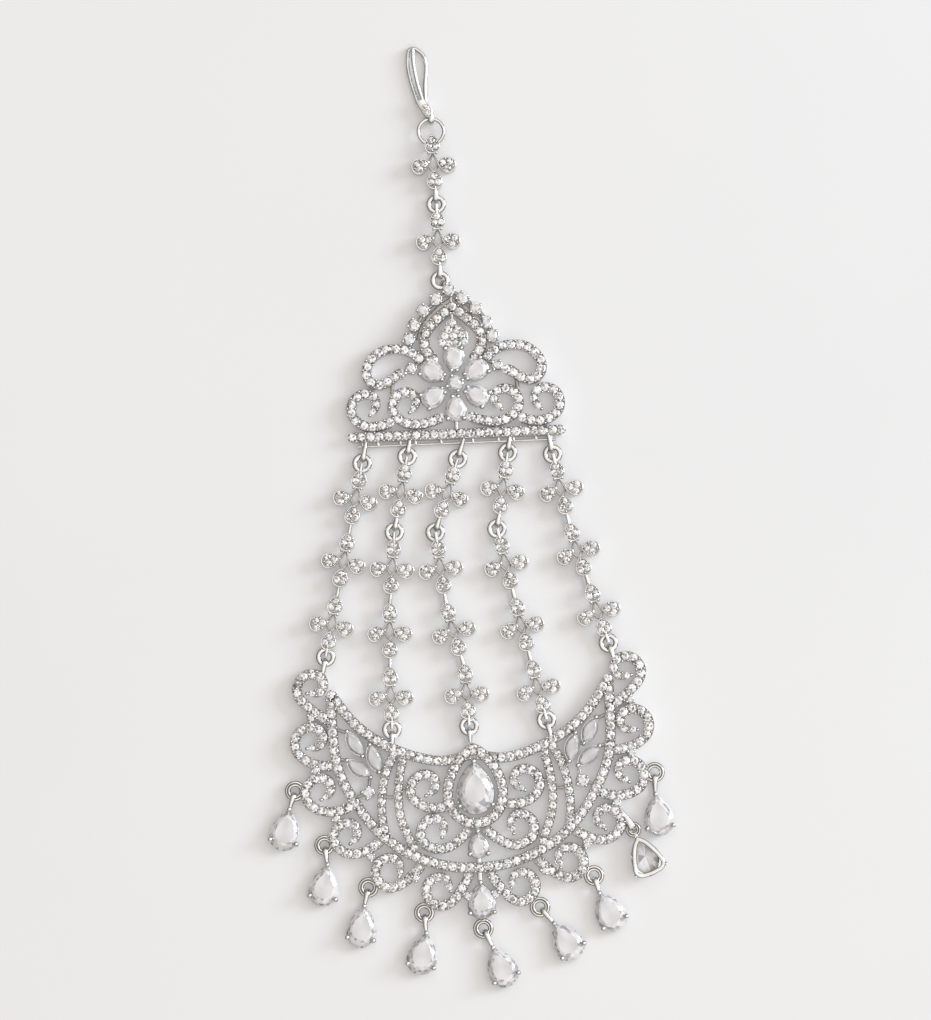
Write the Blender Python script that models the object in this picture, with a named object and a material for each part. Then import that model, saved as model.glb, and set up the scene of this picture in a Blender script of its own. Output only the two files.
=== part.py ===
"""Jhoomar, a side hair ornament of cast white metal and clear stones, lying on a flat surface.

A hook and ring carry two florets, a pierced crown, five strings of florets and a pierced crescent
with nine pear drops. Lengths here are millimetres, turned into metres when a mesh is made.
World axes: +Y runs from the drops to the hook, +X to the right of the front, +Z up from the surface.
"""

import math

import bpy
import bmesh
from mathutils import Matrix, Vector
from mathutils.geometry import delaunay_2d_cdt

MM = 0.001

# Wire, loops and jump rings
LINK_Z = 1.15  # height of every jump ring's middle
RING_RADIUS = 1.18  # middle of the wire of a jump ring
RING_WIRE = 0.42
LOOP_RADIUS = 0.80  # middle of the wire of a fixed loop that holds a ring
LOOP_WIRE = 0.26
SLIM_LOOP_RADIUS = 0.53  # flatter loop that hooks a bar under the next floret
SLIM_LOOP_WIRE = 0.22
SLIM_LOOP_Z = 0.95
WASHER_BAND = 0.8  # fixed rings of the crescent
WASHER_HALF = 0.3
RING_SIDES = 10
WIRE_SIDES = 5
TUCK = 0.35  # how far a loop's ends run into the metal that carries them

# Plates
PLATE_TOP = 2.1
RAIL_TOP = 0.9
BAND = 1.65  # width of a row of small stones with its rims
SCROLL_BAND = 1.6

# Florets: petal T points up the string, B down it, L and R droop outwards
FLORET_SPAN = 5.82  # T middle to B middle
PETAL_LENGTH = 3.05
PETAL_WIDTH = 2.5
SIDE_PETAL_X = 2.05
SIDE_PETAL_Y = -0.5
SIDE_PETAL_DROOP = 22
WEB_TOP = 1.5  # the kite of metal round the floret's middle hole
WEB_SIDE = (0.85, -0.2)
WEB_FOOT = -1.45
WEB_BAND = 0.5
CUP_BOTTOM = 0.3
CUP_TOP = 2.35
LEAF_BOTTOM = 1.75  # underside of a petal that covers a ring or a bar
LEAF_TOP = 2.3

# Distances along a string, for the kinds of link
RING_TO_PETAL = 2.62  # ring middle to the middle of a petal that is tucked over it
HOOK_TO_PETAL = 2.16
RING_BELOW = 3.87  # B middle to the middle of a ring that hangs clear below it
BAR_TO_PETAL = 0.62
PIVOT_BELOW = 3.81  # B middle to the bar under the next floret
TO_PETAL = dict(ring=RING_TO_PETAL, bar=BAR_TO_PETAL, hook=HOOK_TO_PETAL)
FROM_PETAL = dict(ring=RING_BELOW, bar=PIVOT_BELOW, tucked=RING_TO_PETAL)

# Strings: first ring's place, one (link above, heading) per floret, and the length of the
# crescent's loop that carries the last ring.
# A heading is degrees from straight down (-Y), positive towards +X.
STRINGS = (
    dict(ring=(-17.6, 8.7), florets=(("ring", -10.5), ("bar", -10.8), ("bar", -10.2)), carrier=2.1),
    dict(
        ring=(-10.4, 9.8),
        florets=(("ring", -9.5), ("ring", -3.5), ("bar", 0.5), ("bar", 2.0)),
        carrier=1.9,
    ),
    dict(
        ring=(-2.3, 9.4),
        florets=(("ring", -17.0), ("ring", 8.5), ("bar", 16.5), ("bar", 4.5)),
        carrier=1.5,
    ),
    dict(
        ring=(5.7, 10.4),
        florets=(("ring", -8.0), ("ring", 14.0), ("bar", 14.5), ("bar", 15.0)),
        carrier=2.0,
    ),
    dict(ring=(12.9, 10.2), florets=(("ring", 13.0), ("bar", 18.5), ("bar", 18.5)), carrier=1.8),
)

# Top chain
HOOK_RING_AT = (-6.6, 62.3)
HOOK_RING_RADIUS = 2.05
HOOK_RING_WIRE = 0.33
TOP_FLORETS = (("hook", 4.0), ("ring", 3.0))

# Crown, in its own frame: origin at the flower's middle, +Y to the top stone
CROWN_AT = (-2.8, 21.5)
CROWN_TURN = 2.3
ROUND_RADIUS = 0.98
# Stones that edge the crown, from the top one down one side
EDGE_ROUNDS = (("x", "y"), (0.0, 15.1), (2.15, 13.7), (4.2, 11.95), (5.8, 9.65), (6.75, 7.4))
LOOP_ROUND = (6.9, 2.65)
ARCH = ((0.0, 12.4), (1.9, 10.9), (3.8, 9.1), (4.6, 7.5), (4.4, 5.6), (3.2, 3.9))
ARCH_BAND = 1.75
TEARDROP_Y = 7.95
TEARDROP_LENGTH = 5.1
TEARDROP_WIDTH = 4.9
LOOP_CURVE = (
    (5.5, 4.2), (6.8, 5.3), (8.9, 5.9), (11.5, 5.6), (13.5, 4.0), (14.1, 2.0), (13.3, 0.6),
    (11.9, 0.2), (10.4, 0.8), (9.1, 1.8), (8.3, 2.0),
)
PETAL_RING = 3.95  # flower's middle to the middle of its petals
PETAL_STONE_LENGTH = 4.1
PETAL_STONE_WIDTH = 3.2
BAR_HALF = 16.8
BAR_Y = -8.1
BAR_WIDTH = 1.65
RAIL_Y = -9.35
RAIL_WIDTH = 0.4
RAIL_POSTS = (2.55, 6.65, 9.05, 12.65, 15.1)
CROWN_SCROLLS = (
    dict(x=14.3, y=-3.6, radius=2.5, start=240, sweep=264, tail=(10.6, -5.9)),
    dict(x=7.8, y=-3.4, radius=2.37, start=239, sweep=266, tail=(2.4, -5.4)),
)

# Crescent, in its own frame: origin at the large pear's middle
CRESCENT_AT = (0.5, -43.6)
CRESCENT_TURN = 3.3
TOP_ARC = ((0.0, 5.9), (4.3, 5.0), (8.2, 5.6), (12.3, 7.2), (16.0, 9.4), (19.2, 12.4), (22.1, 16.6))
OUTER_ARC = (
    (0.0, -12.3), (4.3, -11.9), (8.6, -10.6), (12.7, -8.4), (16.0, -5.4), (18.5, -2.0),
    (20.5, 1.6), (21.7, 5.0), (22.1, 8.6), (22.2, 12.4), (22.2, 16.4),
)
OUTER_BAR = ((12.7, 6.4), (14.2, 3.2), (14.9, -0.4), (15.0, -3.6), (14.5, -6.9))
INNER_BAR = ((11.3, 5.4), (12.0, 2.4), (12.3, -0.8), (11.9, -4.4), (10.3, -8.5))
BAR_BAND = 1.4
SCROLLS = (
    dict(x=25.0, y=17.5, radius=2.53, start=229, sweep=336, tail=(22.4, 12.2)),
    dict(x=25.6, y=8.9, radius=2.72, start=235, sweep=328, tail=(22.4, 5.2)),
    dict(x=24.5, y=0.9, radius=2.56, start=244, sweep=289, tail=(20.3, -1.6)),
    dict(x=20.6, y=-6.3, radius=2.35, start=237, sweep=270, tail=(15.5, -7.2)),
    dict(x=14.3, y=-12.2, radius=2.34, start=225, sweep=228, tail=(9.2, -11.4)),
    dict(x=6.5, y=-15.6, radius=2.27, start=241, sweep=221, tail=(1.6, -13.0)),
    dict(x=7.9, y=0.6, radius=2.45, start=234, sweep=279, tail=(4.2, -2.2)),
    dict(x=6.7, y=-6.4, radius=2.4, start=252, sweep=255, tail=(1.3, -6.1)),
)
STUDS = ((25.5, 13.0), (25.2, 4.6), (22.4, -3.2), (17.2, -9.6), (10.3, -13.3), (2.2, -16.6))
STUD_RADIUS = 0.75
MARQUISES = (("x", "y", "turn"), (18.75, 8.5, -29.0), (15.8, 6.0, -15.5), (18.35, 4.5, -51.0))
# Short stays that tie the marquise seats, the round seats and the bars together
MARQUISE_STAYS = (
    ((19.8, 10.3), (21.7, 11.0)), ((17.5, 6.6), (16.2, 6.2)), ((20.0, 5.8), (21.6, 6.4)),
    ((16.4, 8.0), (16.1, 9.3)), ((15.2, 4.2), (14.2, 3.6)), ((16.6, 3.2), (17.1, 0.6)),
    ((17.1, 0.6), (19.6, -0.2)), ((12.0, -0.3), (15.0, -0.3)), ((10.4, 0.9), (12.1, 1.2)),
)
STAY_WIDTH = 0.85
MARQUISE_LENGTH = 4.4
MARQUISE_WIDTH = 2.15
CRESCENT_ROUND = (17.1, 0.6)
LARGE_PEAR = dict(y=0.35, length=8.2, width=5.9)
PEAR_HALO = dict(y=0.75, length=12.0, width=8.8)
SMALL_PEAR = dict(y=-8.7, length=4.1, width=3.1)
BOTTOM_PEAR = dict(y=-17.6, length=5.5, width=4.3)

# Drops: ring's place and the crescent point that carries it, then bail and stone headings.
# Reach is from the ring's middle to the ball at the stone's tip.
DROPS = (
    dict(ring=(-28.2, -43.7), root=(-26.4, -42.6), reach=3.15, bail=-17.4, stone=-10.6),
    dict(ring=(-23.5, -52.3), root=(-22.6, -50.7), reach=3.24, bail=8.5, stone=-8.6),
    dict(ring=(-16.5, -59.0), root=(-15.4, -57.5), reach=3.11, bail=-11.9, stone=-6.8),
    dict(ring=(-7.6, -63.0), root=(-6.7, -61.3), reach=3.34, bail=5.2, stone=-9.9),
    dict(ring=(1.8, -65.5), root=(1.6, -63.8), reach=3.48, bail=26.2, stone=24.0),
    dict(ring=(10.8, -62.1), root=(9.3, -61.1), reach=3.55, bail=40.0, stone=35.0),
    dict(ring=(19.4, -57.1), root=(18.0, -56.2), reach=3.0, bail=17.0, stone=28.0),
    dict(ring=(29.1, -40.7), root=(27.4, -40.1), reach=3.6, bail=1.9, stone=8.4),
)
TURNED_DROP = dict(ring=(25.7, -49.8), root=(22.9, -45.6), loop=32.7, stone=23.2)
DROP_LENGTH = 6.7
DROP_WIDTH = 5.0
DROP_FRAME = 0.62
DROP_FRAME_TOP = 1.25
TURNED_RING_RADIUS = 0.8
TURNED_RING_WIRE = 0.28

# Prongs and stones
PRONG_RADIUS = 0.42
PRONG_SIDES = 5
STONE_GAP = 0.08
GIRDLE = 0.25

SPIRAL_HOLD = 150  # degrees of a scroll that keep its full radius
SPIRAL_FALL = 170  # degrees over which the radius then falls
SPIRAL_DROP = 0.75
SPIRAL_STEP = 46
MERGE = 0.0001  # outline points nearer than this are one


def clear_scene():
    for found in list(bpy.data.objects):
        bpy.data.objects.remove(found)


def plain_material(name, colour, metallic, roughness, transmission=0.0):
    material = bpy.data.materials.new(name)
    material.use_nodes = True
    shader = material.node_tree.nodes["Principled BSDF"]
    shader.inputs["Base Color"].default_value = (*colour, 1.0)
    shader.inputs["Metallic"].default_value = metallic
    shader.inputs["Roughness"].default_value = roughness
    shader.inputs["Transmission Weight"].default_value = transmission
    material.diffuse_color = (*colour, 1.0)
    return material


def white_metal(name):
    return plain_material(name, (0.84, 0.83, 0.82), 1.0, 0.16)


def clear_stone(name):
    return plain_material(name, (0.93, 0.92, 0.95), 0.0, 0.02, 0.6)


# Flat shapes, as lists of (x, y)


def mirror(points):
    return [(-x, y) for x, y in points]


def heading_vector(degrees):
    """Unit vector of a heading measured from straight down, positive towards +X."""
    angle = math.radians(degrees)
    return Vector((math.sin(angle), -math.cos(angle)))


def disc(x, y, radius, sides=8):
    step = math.tau / sides
    return [
        (x + radius * math.cos((i + 0.5) * step), y + radius * math.sin((i + 0.5) * step))
        for i in range(sides)
    ]


def pear(length, width, sides=10, fullness=0.6):
    """Pear outline about its middle, with the narrow end towards +Y."""
    raw = []
    for i in range(sides):
        turn = math.tau * (i + 0.5 * (sides % 2)) / sides
        raw.append((math.sin(turn) * math.sin(turn / 2) ** fullness, math.cos(turn)))
    widest = max(x for x, _ in raw)
    return [(-x / widest * width / 2, y * length / 2) for x, y in raw]


def marquise(length, width, sides=8):
    """Pointed oval along Y, its two sides as parabolas."""
    half = sides // 2
    right = []
    for i in range(half):
        y = -1 + 2 * i / half
        right.append((width / 2 * (1 - y * y), y * length / 2))
    return right + [(-x, -y) for x, y in right]


def placed(points, x, y, turn=0.0):
    """Points turned counterclockwise by turn degrees, then moved."""
    c = math.cos(math.radians(turn))
    s = math.sin(math.radians(turn))
    return [(x + px * c - py * s, y + px * s + py * c) for px, py in points]


def scroll(x, y, radius, start, sweep, tail):
    """Curve of a scroll on the +X side: a bent tail, a round back and an eye that winds in."""
    points = []
    count = round(sweep / SPIRAL_STEP)
    for i in range(count + 1):
        turned = sweep * i / count
        fall = min(max((turned - SPIRAL_HOLD) / SPIRAL_FALL, 0.0), 1.0)
        reach = radius * (1 - SPIRAL_DROP * fall * fall * (3 - 2 * fall))
        angle = math.radians(180 - start + turned)
        points.append(Vector((x + reach * math.cos(angle), y + reach * math.sin(angle))))
    along = (points[0] - points[1]).normalized()
    end = Vector(tail)
    bend = points[0] + along * (end - points[0]).length * 0.45
    middle = 0.25 * points[0] + 0.5 * bend + 0.25 * end
    return [tuple(p) for p in [end, middle, *points]]


def band(points, width, closed=False):
    """Quads along a centreline, mitred where they meet."""
    knots = [Vector(p) for p in points]
    count = len(knots)
    sides = []
    for i, knot in enumerate(knots):
        before = knots[i - 1] if closed or i else knot
        after = knots[(i + 1) % count] if closed or i < count - 1 else knot
        first = (knot - before).normalized() if before is not knot else (after - knot).normalized()
        second = (after - knot).normalized() if after is not knot else first
        along = (first + second).normalized()
        reach = width / 2 / max(along.dot(second), 0.5)
        across = Vector((-along.y, along.x)) * reach
        sides.append((knot + across, knot - across))
    pairs = list(zip(sides, sides[1:] + sides[:1])) if closed else list(zip(sides, sides[1:]))
    return [[tuple(b[0]), tuple(a[0]), tuple(a[1]), tuple(b[1])] for a, b in pairs]


def round_ended(points, width):
    """A band with a round cap on its last point."""
    return band(points, width) + [disc(*points[-1], width / 2, 6)]


def both_sides(shapes):
    """The shapes and their mirror images."""
    return shapes + [mirror(shape)[::-1] for shape in shapes]


# Closed shells, as (points, faces)


def slab(shapes, bottom, top):
    """Union of the flat shapes, as a plate between two heights."""
    points = []
    outlines = []
    for shape in shapes:
        outlines.append(list(range(len(points), len(points) + len(shape))))
        points.extend(Vector(p) for p in shape)
    found = delaunay_2d_cdt(points, [], outlines, 1, MERGE, True)
    mesh = bmesh.new()
    corners = [mesh.verts.new((p.x, p.y, bottom)) for p in found[0]]
    for face, owners in zip(found[2], found[5]):
        if owners:
            mesh.faces.new([corners[i] for i in face])
    loose = [v for v in mesh.verts if not v.link_faces]
    bmesh.ops.delete(mesh, geom=loose, context="VERTS")
    raised = bmesh.ops.extrude_face_region(mesh, geom=list(mesh.faces))["geom"]
    lifted = [v for v in raised if isinstance(v, bmesh.types.BMVert)]
    bmesh.ops.translate(mesh, vec=(0, 0, top - bottom), verts=lifted)
    bmesh.ops.triangulate(mesh, faces=mesh.faces)
    bmesh.ops.recalc_face_normals(mesh, faces=mesh.faces)
    mesh.verts.index_update()
    shell = [tuple(v.co) for v in mesh.verts], [[v.index for v in f.verts] for f in mesh.faces]
    mesh.free()
    return shell


def tube(path, radius, side, closed=False, sides=WIRE_SIDES):
    """Wire along a flat path; side is the unit vector square to the path's plane."""
    knots = [Vector(p) for p in path]
    side = Vector(side)
    count = len(knots)
    points = []
    for i, knot in enumerate(knots):
        before = knots[i - 1] if closed or i else knot
        after = knots[(i + 1) % count] if closed or i < count - 1 else knot
        along = (after - before).normalized()
        up = side.cross(along)
        for k in range(sides):
            turn = math.tau * k / sides
            points.append(tuple(knot + radius * (side * math.cos(turn) + up * math.sin(turn))))
    faces = []
    for i in range(count if closed else count - 1):
        j = (i + 1) % count
        for k in range(sides):
            m = (k + 1) % sides
            faces.append([i * sides + k, i * sides + m, j * sides + m, j * sides + k])
    if not closed:
        faces.append(list(range(sides))[::-1])
        faces.append([(count - 1) * sides + k for k in range(sides)])
    return points, faces


def ring_path(radius, z, sides=RING_SIDES):
    """A flat ring with a corner at +Y and at -Y."""
    return [
        (radius * math.sin(math.tau * i / sides), radius * math.cos(math.tau * i / sides), z)
        for i in range(sides)
    ]


def flat_ring(radius, wire, z, sides=RING_SIDES):
    return tube(ring_path(radius, z, sides), wire, (0, 0, 1), closed=True)


def upright_loop(y, radius, wire, z):
    """A loop that stands in the YZ plane."""
    path = [(0, y + py, z + px) for px, py, _ in ring_path(radius, 0)]
    return tube(path, wire, (1, 0, 0), closed=True)


def hairpin(start, middle, radius, wire, z):
    """Two strands from start, joined by a half turn about middle, in the YZ plane."""
    outward = math.copysign(1, middle - start)
    turns = RING_SIDES // 2
    path = [(0, start, z + radius)]
    for i in range(turns + 1):
        angle = math.pi * i / turns
        path.append((0, middle + outward * radius * math.sin(angle), z + radius * math.cos(angle)))
    path.append((0, start, z - radius))
    return tube(path, wire, (1, 0, 0))


def post(x, y, radius, bottom, top, sides=PRONG_SIDES):
    return slab([disc(x, y, radius, sides)], bottom, top)


def cut_stone(outline, culet, girdle, table, table_share=0.58, flat_back=None):
    """Faceted stone: pavilion, girdle, crown and table over a flat outline."""
    count = len(outline)
    cx = sum(x for x, _ in outline) / count
    cy = sum(y for _, y in outline) / count
    points = [(x, y, girdle) for x, y in outline]
    points += [(x, y, girdle + GIRDLE) for x, y in outline]
    for i, (x, y) in enumerate(outline):
        nx, ny = outline[(i + 1) % count]
        mx = cx + ((x + nx) / 2 - cx) * table_share
        my = cy + ((y + ny) / 2 - cy) * table_share
        points.append((mx, my, table))
    faces = [list(range(2 * count, 3 * count))]
    for i in range(count):
        j = (i + 1) % count
        faces.append([i, j, count + j, count + i])
        faces.append([count + i, count + j, 2 * count + i])
        faces.append([count + j, 2 * count + j, 2 * count + i])
    if flat_back is None:
        points.append((cx, cy, culet))
        faces += [[(i + 1) % count, i, 3 * count] for i in range(count)]
    else:
        points += [(cx + (x - cx) * flat_back, cy + (y - cy) * flat_back, culet) for x, y in outline]
        for i in range(count):
            j = (i + 1) % count
            faces.append([j, i, 3 * count + i, 3 * count + j])
        faces.append([3 * count + i for i in reversed(range(count))])
    return points, faces


def moved(shell, matrix):
    points, faces = shell
    return [tuple(matrix @ Vector(p)) for p in points], faces


def turned(shell, x, y, degrees):
    """A shell turned about Z, then moved."""
    return moved(shell, Matrix.Translation((x, y, 0)) @ Matrix.Rotation(math.radians(degrees), 4, "Z"))


# Objects


def mesh_of(name, shells):
    """One mesh in metres that holds the shells side by side, each facing outwards."""
    mesh = bmesh.new()
    for points, faces in shells:
        corners = [mesh.verts.new([c * MM for c in p]) for p in points]
        made = [mesh.faces.new([corners[i] for i in face]) for face in faces]
        bmesh.ops.recalc_face_normals(mesh, faces=made)
    data = bpy.data.meshes.new(name)
    mesh.to_mesh(data)
    mesh.free()
    return data


def helper(name, shells):
    item = bpy.data.objects.new(name, mesh_of(name, shells))
    item.display_type = "WIRE"
    item.hide_render = True
    bpy.context.scene.collection.objects.link(item)
    return item


def fused(name, shells):
    """One mesh with all the shells joined into a single body."""
    if len(shells) == 1:
        return mesh_of(name, shells)
    base = helper(name + "_base", shells[:1])
    added = helper(name + "_added", shells[1:])
    union = base.modifiers.new("join", "BOOLEAN")
    union.operation = "UNION"
    union.solver = "EXACT"
    union.use_self = True
    union.object = added
    graph = bpy.context.evaluated_depsgraph_get()
    data = bpy.data.meshes.new_from_object(base.evaluated_get(graph))
    data.name = name
    bpy.data.objects.remove(base)
    bpy.data.objects.remove(added)
    return data


def part(name, data, material, parent, x=0.0, y=0.0, turn=0.0):
    item = bpy.data.objects.new(name, data)
    item.location = (x * MM, y * MM, 0)
    item.rotation_euler = (0, 0, math.radians(turn))
    item.parent = parent
    if not data.materials:
        data.materials.append(material)
    bpy.context.scene.collection.objects.link(item)
    return item


def in_frame(at, turn, point):
    """World x, y of a point given in the crown's or the crescent's own frame."""
    return placed([point], *at, turn)[0]


def to_frame(at, turn, point):
    """A world point in the crown's or the crescent's own frame."""
    moved_back = (point[0] - at[0], point[1] - at[1])
    return placed([moved_back], 0, 0, -turn)[0]


# Florets


def floret(top, bottom):
    """Floret about the middle of its span, for the kinds of link above and below."""
    half = FLORET_SPAN / 2
    side = placed(pear(PETAL_LENGTH, PETAL_WIDTH, 8), SIDE_PETAL_X, SIDE_PETAL_Y, 90 - SIDE_PETAL_DROOP)
    kite = [(0, WEB_TOP), WEB_SIDE, (0, WEB_FOOT), (-WEB_SIDE[0], WEB_SIDE[1])]
    web = band(kite, WEB_BAND, closed=True)
    upper = placed(pear(PETAL_LENGTH, PETAL_WIDTH, 8), 0, half)
    lower = placed(pear(PETAL_LENGTH + 0.2, PETAL_WIDTH, 8), 0, -half)
    cup = [side, mirror(side)[::-1], *web]
    shells = []
    if bottom == "tucked":
        tongue = leaf_tongue(-half - RING_TO_PETAL + RING_RADIUS, -1)
        shells = [slab(cup, CUP_BOTTOM, CUP_TOP), slab([lower, *tongue], LEAF_BOTTOM, LEAF_TOP)]
    else:
        shells = [slab([*cup, lower], CUP_BOTTOM, CUP_TOP)]
    tongue = leaf_tongue(half + RING_TO_PETAL - RING_RADIUS, 1) if top == "ring" else []
    shells.append(slab([upper, *tongue], LEAF_BOTTOM, LEAF_TOP))
    return shells + top_link(top, half) + bottom_link(bottom, -half)


def leaf_tongue(y, outward):
    """Narrow end of a leaf that reaches past the ring's wire, over the staple's outer leg."""
    return band([(0, y - 0.5 * outward), (0, y + (LOOP_RADIUS + LOOP_WIRE) * outward)], 2 * LOOP_WIRE)


def ring_staple(y):
    """Square staple under a leaf, round the wire of a jump ring whose wire passes at y."""
    foot = LINK_Z - LOOP_RADIUS
    head = LEAF_BOTTOM + 0.2
    legs = [(-LOOP_RADIUS, head), (-LOOP_RADIUS, foot), (LOOP_RADIUS, foot), (LOOP_RADIUS, head)]
    return tube([(0, y + py, z) for py, z in legs], LOOP_WIRE, (1, 0, 0), sides=4)


def top_link(kind, y):
    if kind == "bar":
        return [bar_staple(y + BAR_TO_PETAL)]
    if kind == "hook":
        return [ring_staple(y + HOOK_TO_PETAL - HOOK_RING_RADIUS)]
    return [ring_staple(y + RING_TO_PETAL - RING_RADIUS)]


def bottom_link(kind, y):
    edge = y - PETAL_LENGTH / 2 + TUCK
    if kind == "bar":
        return [hairpin(edge, y - PIVOT_BELOW, SLIM_LOOP_RADIUS, SLIM_LOOP_WIRE, SLIM_LOOP_Z)]
    if kind == "ring":
        middle = y - RING_BELOW + RING_RADIUS
        return [hairpin(edge, middle, LOOP_RADIUS, LOOP_WIRE, LINK_Z)]
    return [ring_staple(y - RING_TO_PETAL + RING_RADIUS)]


def bar_staple(y):
    """A bar under a petal, held at both ends, for the slim loop of the floret above."""
    half = 0.72
    thick = 0.2
    height = LEAF_BOTTOM + 0.15
    legs = [(-half, height), (-half, SLIM_LOOP_Z), (half, SLIM_LOOP_Z), (half, height)]
    return tube([(x, y, z) for x, z in legs], thick, (0, 1, 0), sides=4)


def hang_string(tag, start, florets, last, metal, parent):
    """Lays one string down from its first ring, and gives the middle of its last ring."""
    at = Vector(start)
    rings = 1
    for i, (link, heading) in enumerate(florets):
        along = heading_vector(heading)
        at = at + along * TO_PETAL[link]
        below = florets[i + 1][0] if i + 1 < len(florets) else last
        middle = at + along * FLORET_SPAN / 2
        part(f"floret_{tag}_{i + 1}", floret_mesh(link, below), metal, parent, *middle, heading)
        at = at + along * (FLORET_SPAN + FROM_PETAL[below])
        if below != "bar":
            rings += 1
            lay_ring(f"ring_{tag}_{rings}", at, heading, metal, parent)
    return at


def floret_mesh(top, bottom):
    name = f"floret_{top}_{bottom}"
    return bpy.data.meshes.get(name) or fused(name, floret(top, bottom))


def lay_ring(name, at, turn, metal, parent):
    data = bpy.data.meshes.get("jump_ring")
    data = data or mesh_of("jump_ring", [flat_ring(RING_RADIUS, RING_WIRE, LINK_Z)])
    part(name, data, metal, parent, *at, turn)


# Hook


def hook_and_ring(metal, parent):
    """Wire hook lying on its side over the ring that the first floret hangs from."""
    x, y = HOOK_RING_AT
    wire = 0.42
    ring = flat_ring(HOOK_RING_RADIUS, HOOK_RING_WIRE, LINK_Z, 16)
    part("hook_ring", mesh_of("hook_ring", [ring]), metal, parent, x, y)
    top = y + HOOK_RING_RADIUS
    back = [(x - 3.6, 75.2), (x - 3.8, 73.2), (x - 3.3, 70.8), (x - 2.1, 66.9)]
    front = [(x - 2.5, 75.5), (x - 2.6, 74.2), (x - 1.8, 70.0), (x - 1.1, 67.6)]
    catch = [(x - 1.8, 74.9), (x - 1.2, 73.4), (x - 0.9, 71.2), (x - 0.7, 67.2)]
    bow = [(x - 3.55, 75.9), (x - 3.0, 76.3), (x - 2.2, 76.2), (x - 1.75, 75.6)]
    shells = [tube([(px, py, 0.5) for px, py in back[::-1] + bow + catch], wire, (0, 0, 1))]
    shells.append(tube([(px, py, 1.3) for px, py in front + [(x - 0.9, 66.4)]], wire, (0, 0, 1)))
    base = band([(x - 1.75, 67.2), (x - 0.75, 65.6), (x - 0.35, 64.9)], 1.5)
    shells.append(slab(base, 0.1, 2.3))
    loop = upright_loop(top, 0.78, 0.28, LINK_Z)
    shells.append(turned(loop, x, 0, 0))
    shells.append(turned(hairpin(top + 1.4, top, 0.78, 0.28, LINK_Z), x, 0, 0))
    part("hook", fused("hook", shells), metal, parent)


# Crown


def crown_shapes():
    side = band(ARCH, ARCH_BAND)
    side += band(LOOP_CURVE, SCROLL_BAND)
    for row in CROWN_SCROLLS:
        side += round_ended(scroll(**row), SCROLL_BAND)
    side += band([(9.9, 0.6), (10.1, -1.2)], 0.9)
    rounds = EDGE_ROUNDS[1:]
    side += band(rounds, 0.7)
    side += [disc(x, y, ROUND_RADIUS) for x, y in rounds[1:]] + [disc(*LOOP_ROUND, ROUND_RADIUS)]
    side += band([LOOP_ROUND, (4.6, 4.4)], 0.7)
    shapes = both_sides(side)
    shapes += band([rounds[0], ARCH[0]], 0.8)
    shapes.append(placed(pear(TEARDROP_LENGTH, TEARDROP_WIDTH, 8), 0, TEARDROP_Y))
    shapes += band([(0, 10.2), (0, 12.2)], 0.7)
    shapes += band([(0, 5.6), (0, 3.0)], 0.8)
    for i in range(6):
        turn = 60 * i
        at = placed([(0, PETAL_RING)], 0, 0, turn)[0]
        shapes.append(placed(pear(PETAL_STONE_LENGTH + 0.3, PETAL_STONE_WIDTH + 0.2, 8), *at, turn + 180))
    shapes.append(disc(0, 0, 2.0, 8))
    shapes += band([(0, -5.6), (0, BAR_Y)], 0.8)
    shapes += both_sides(band([(6.2, -5.7), (6.2, BAR_Y)], 1.0) + band([(12.6, -6.0), (12.6, BAR_Y)], 1.0))
    shapes += band([(-BAR_HALF, BAR_Y), (BAR_HALF, BAR_Y)], BAR_WIDTH)
    return shapes


def rail_shapes():
    """The plain rail below the bar of the crown, on its posts."""
    posts = []
    for x in RAIL_POSTS:
        posts += band([(x, RAIL_Y), (x, BAR_Y)], 0.5)
    ends = BAR_HALF - 0.9
    return both_sides(posts) + band([(-ends, RAIL_Y), (ends, RAIL_Y)], RAIL_WIDTH)


def crown(metal, stone, parent, top_ring, string_tops):
    shells = [slab(crown_shapes(), 0, PLATE_TOP), slab(rail_shapes(), 0.2, RAIL_TOP)]
    petal = cut_stone(pear(PETAL_STONE_LENGTH, PETAL_STONE_WIDTH, 8), 1.0, PLATE_TOP - 0.05, 3.0, 0.6)
    for i in range(6):
        at = placed([(0, PETAL_RING)], 0, 0, 60 * i)[0]
        shells.append(turned(petal, *at, 60 * i + 180))
    for ring, heading in string_tops:
        shells.append(carrier(CROWN_AT, CROWN_TURN, ring, heading + 180, 2.9))
    crown_top = in_frame(CROWN_AT, CROWN_TURN, EDGE_ROUNDS[1])
    lean = math.degrees(math.atan2(crown_top[0] - top_ring[0], top_ring[1] - crown_top[1]))
    shells.append(carrier(CROWN_AT, CROWN_TURN, top_ring, lean, 1.3))
    shells.append(slab([disc(*EDGE_ROUNDS[1], ROUND_RADIUS)], LEAF_BOTTOM, PLATE_TOP + 0.1))
    part("crown_frame", fused("crown_frame", shells), metal, parent, *CROWN_AT, CROWN_TURN)
    centre = cut_stone(disc(0, 0, 1.2, 10), PLATE_TOP + STONE_GAP, 2.7, 3.4, 0.6, 0.6)
    part("flower_stone", mesh_of("flower_stone", [centre]), stone, parent, *CROWN_AT, CROWN_TURN)


def carrier(at, turn, ring, heading, length):
    """Fixed loop of the crown or crescent round a ring's wire, on the side of the given heading."""
    pin = hairpin(-length - RING_RADIUS, -RING_RADIUS, LOOP_RADIUS, LOOP_WIRE, LINK_Z)
    x, y = to_frame(at, turn, ring)
    return turned(pin, x, y, heading - turn)


# Crescent


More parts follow.
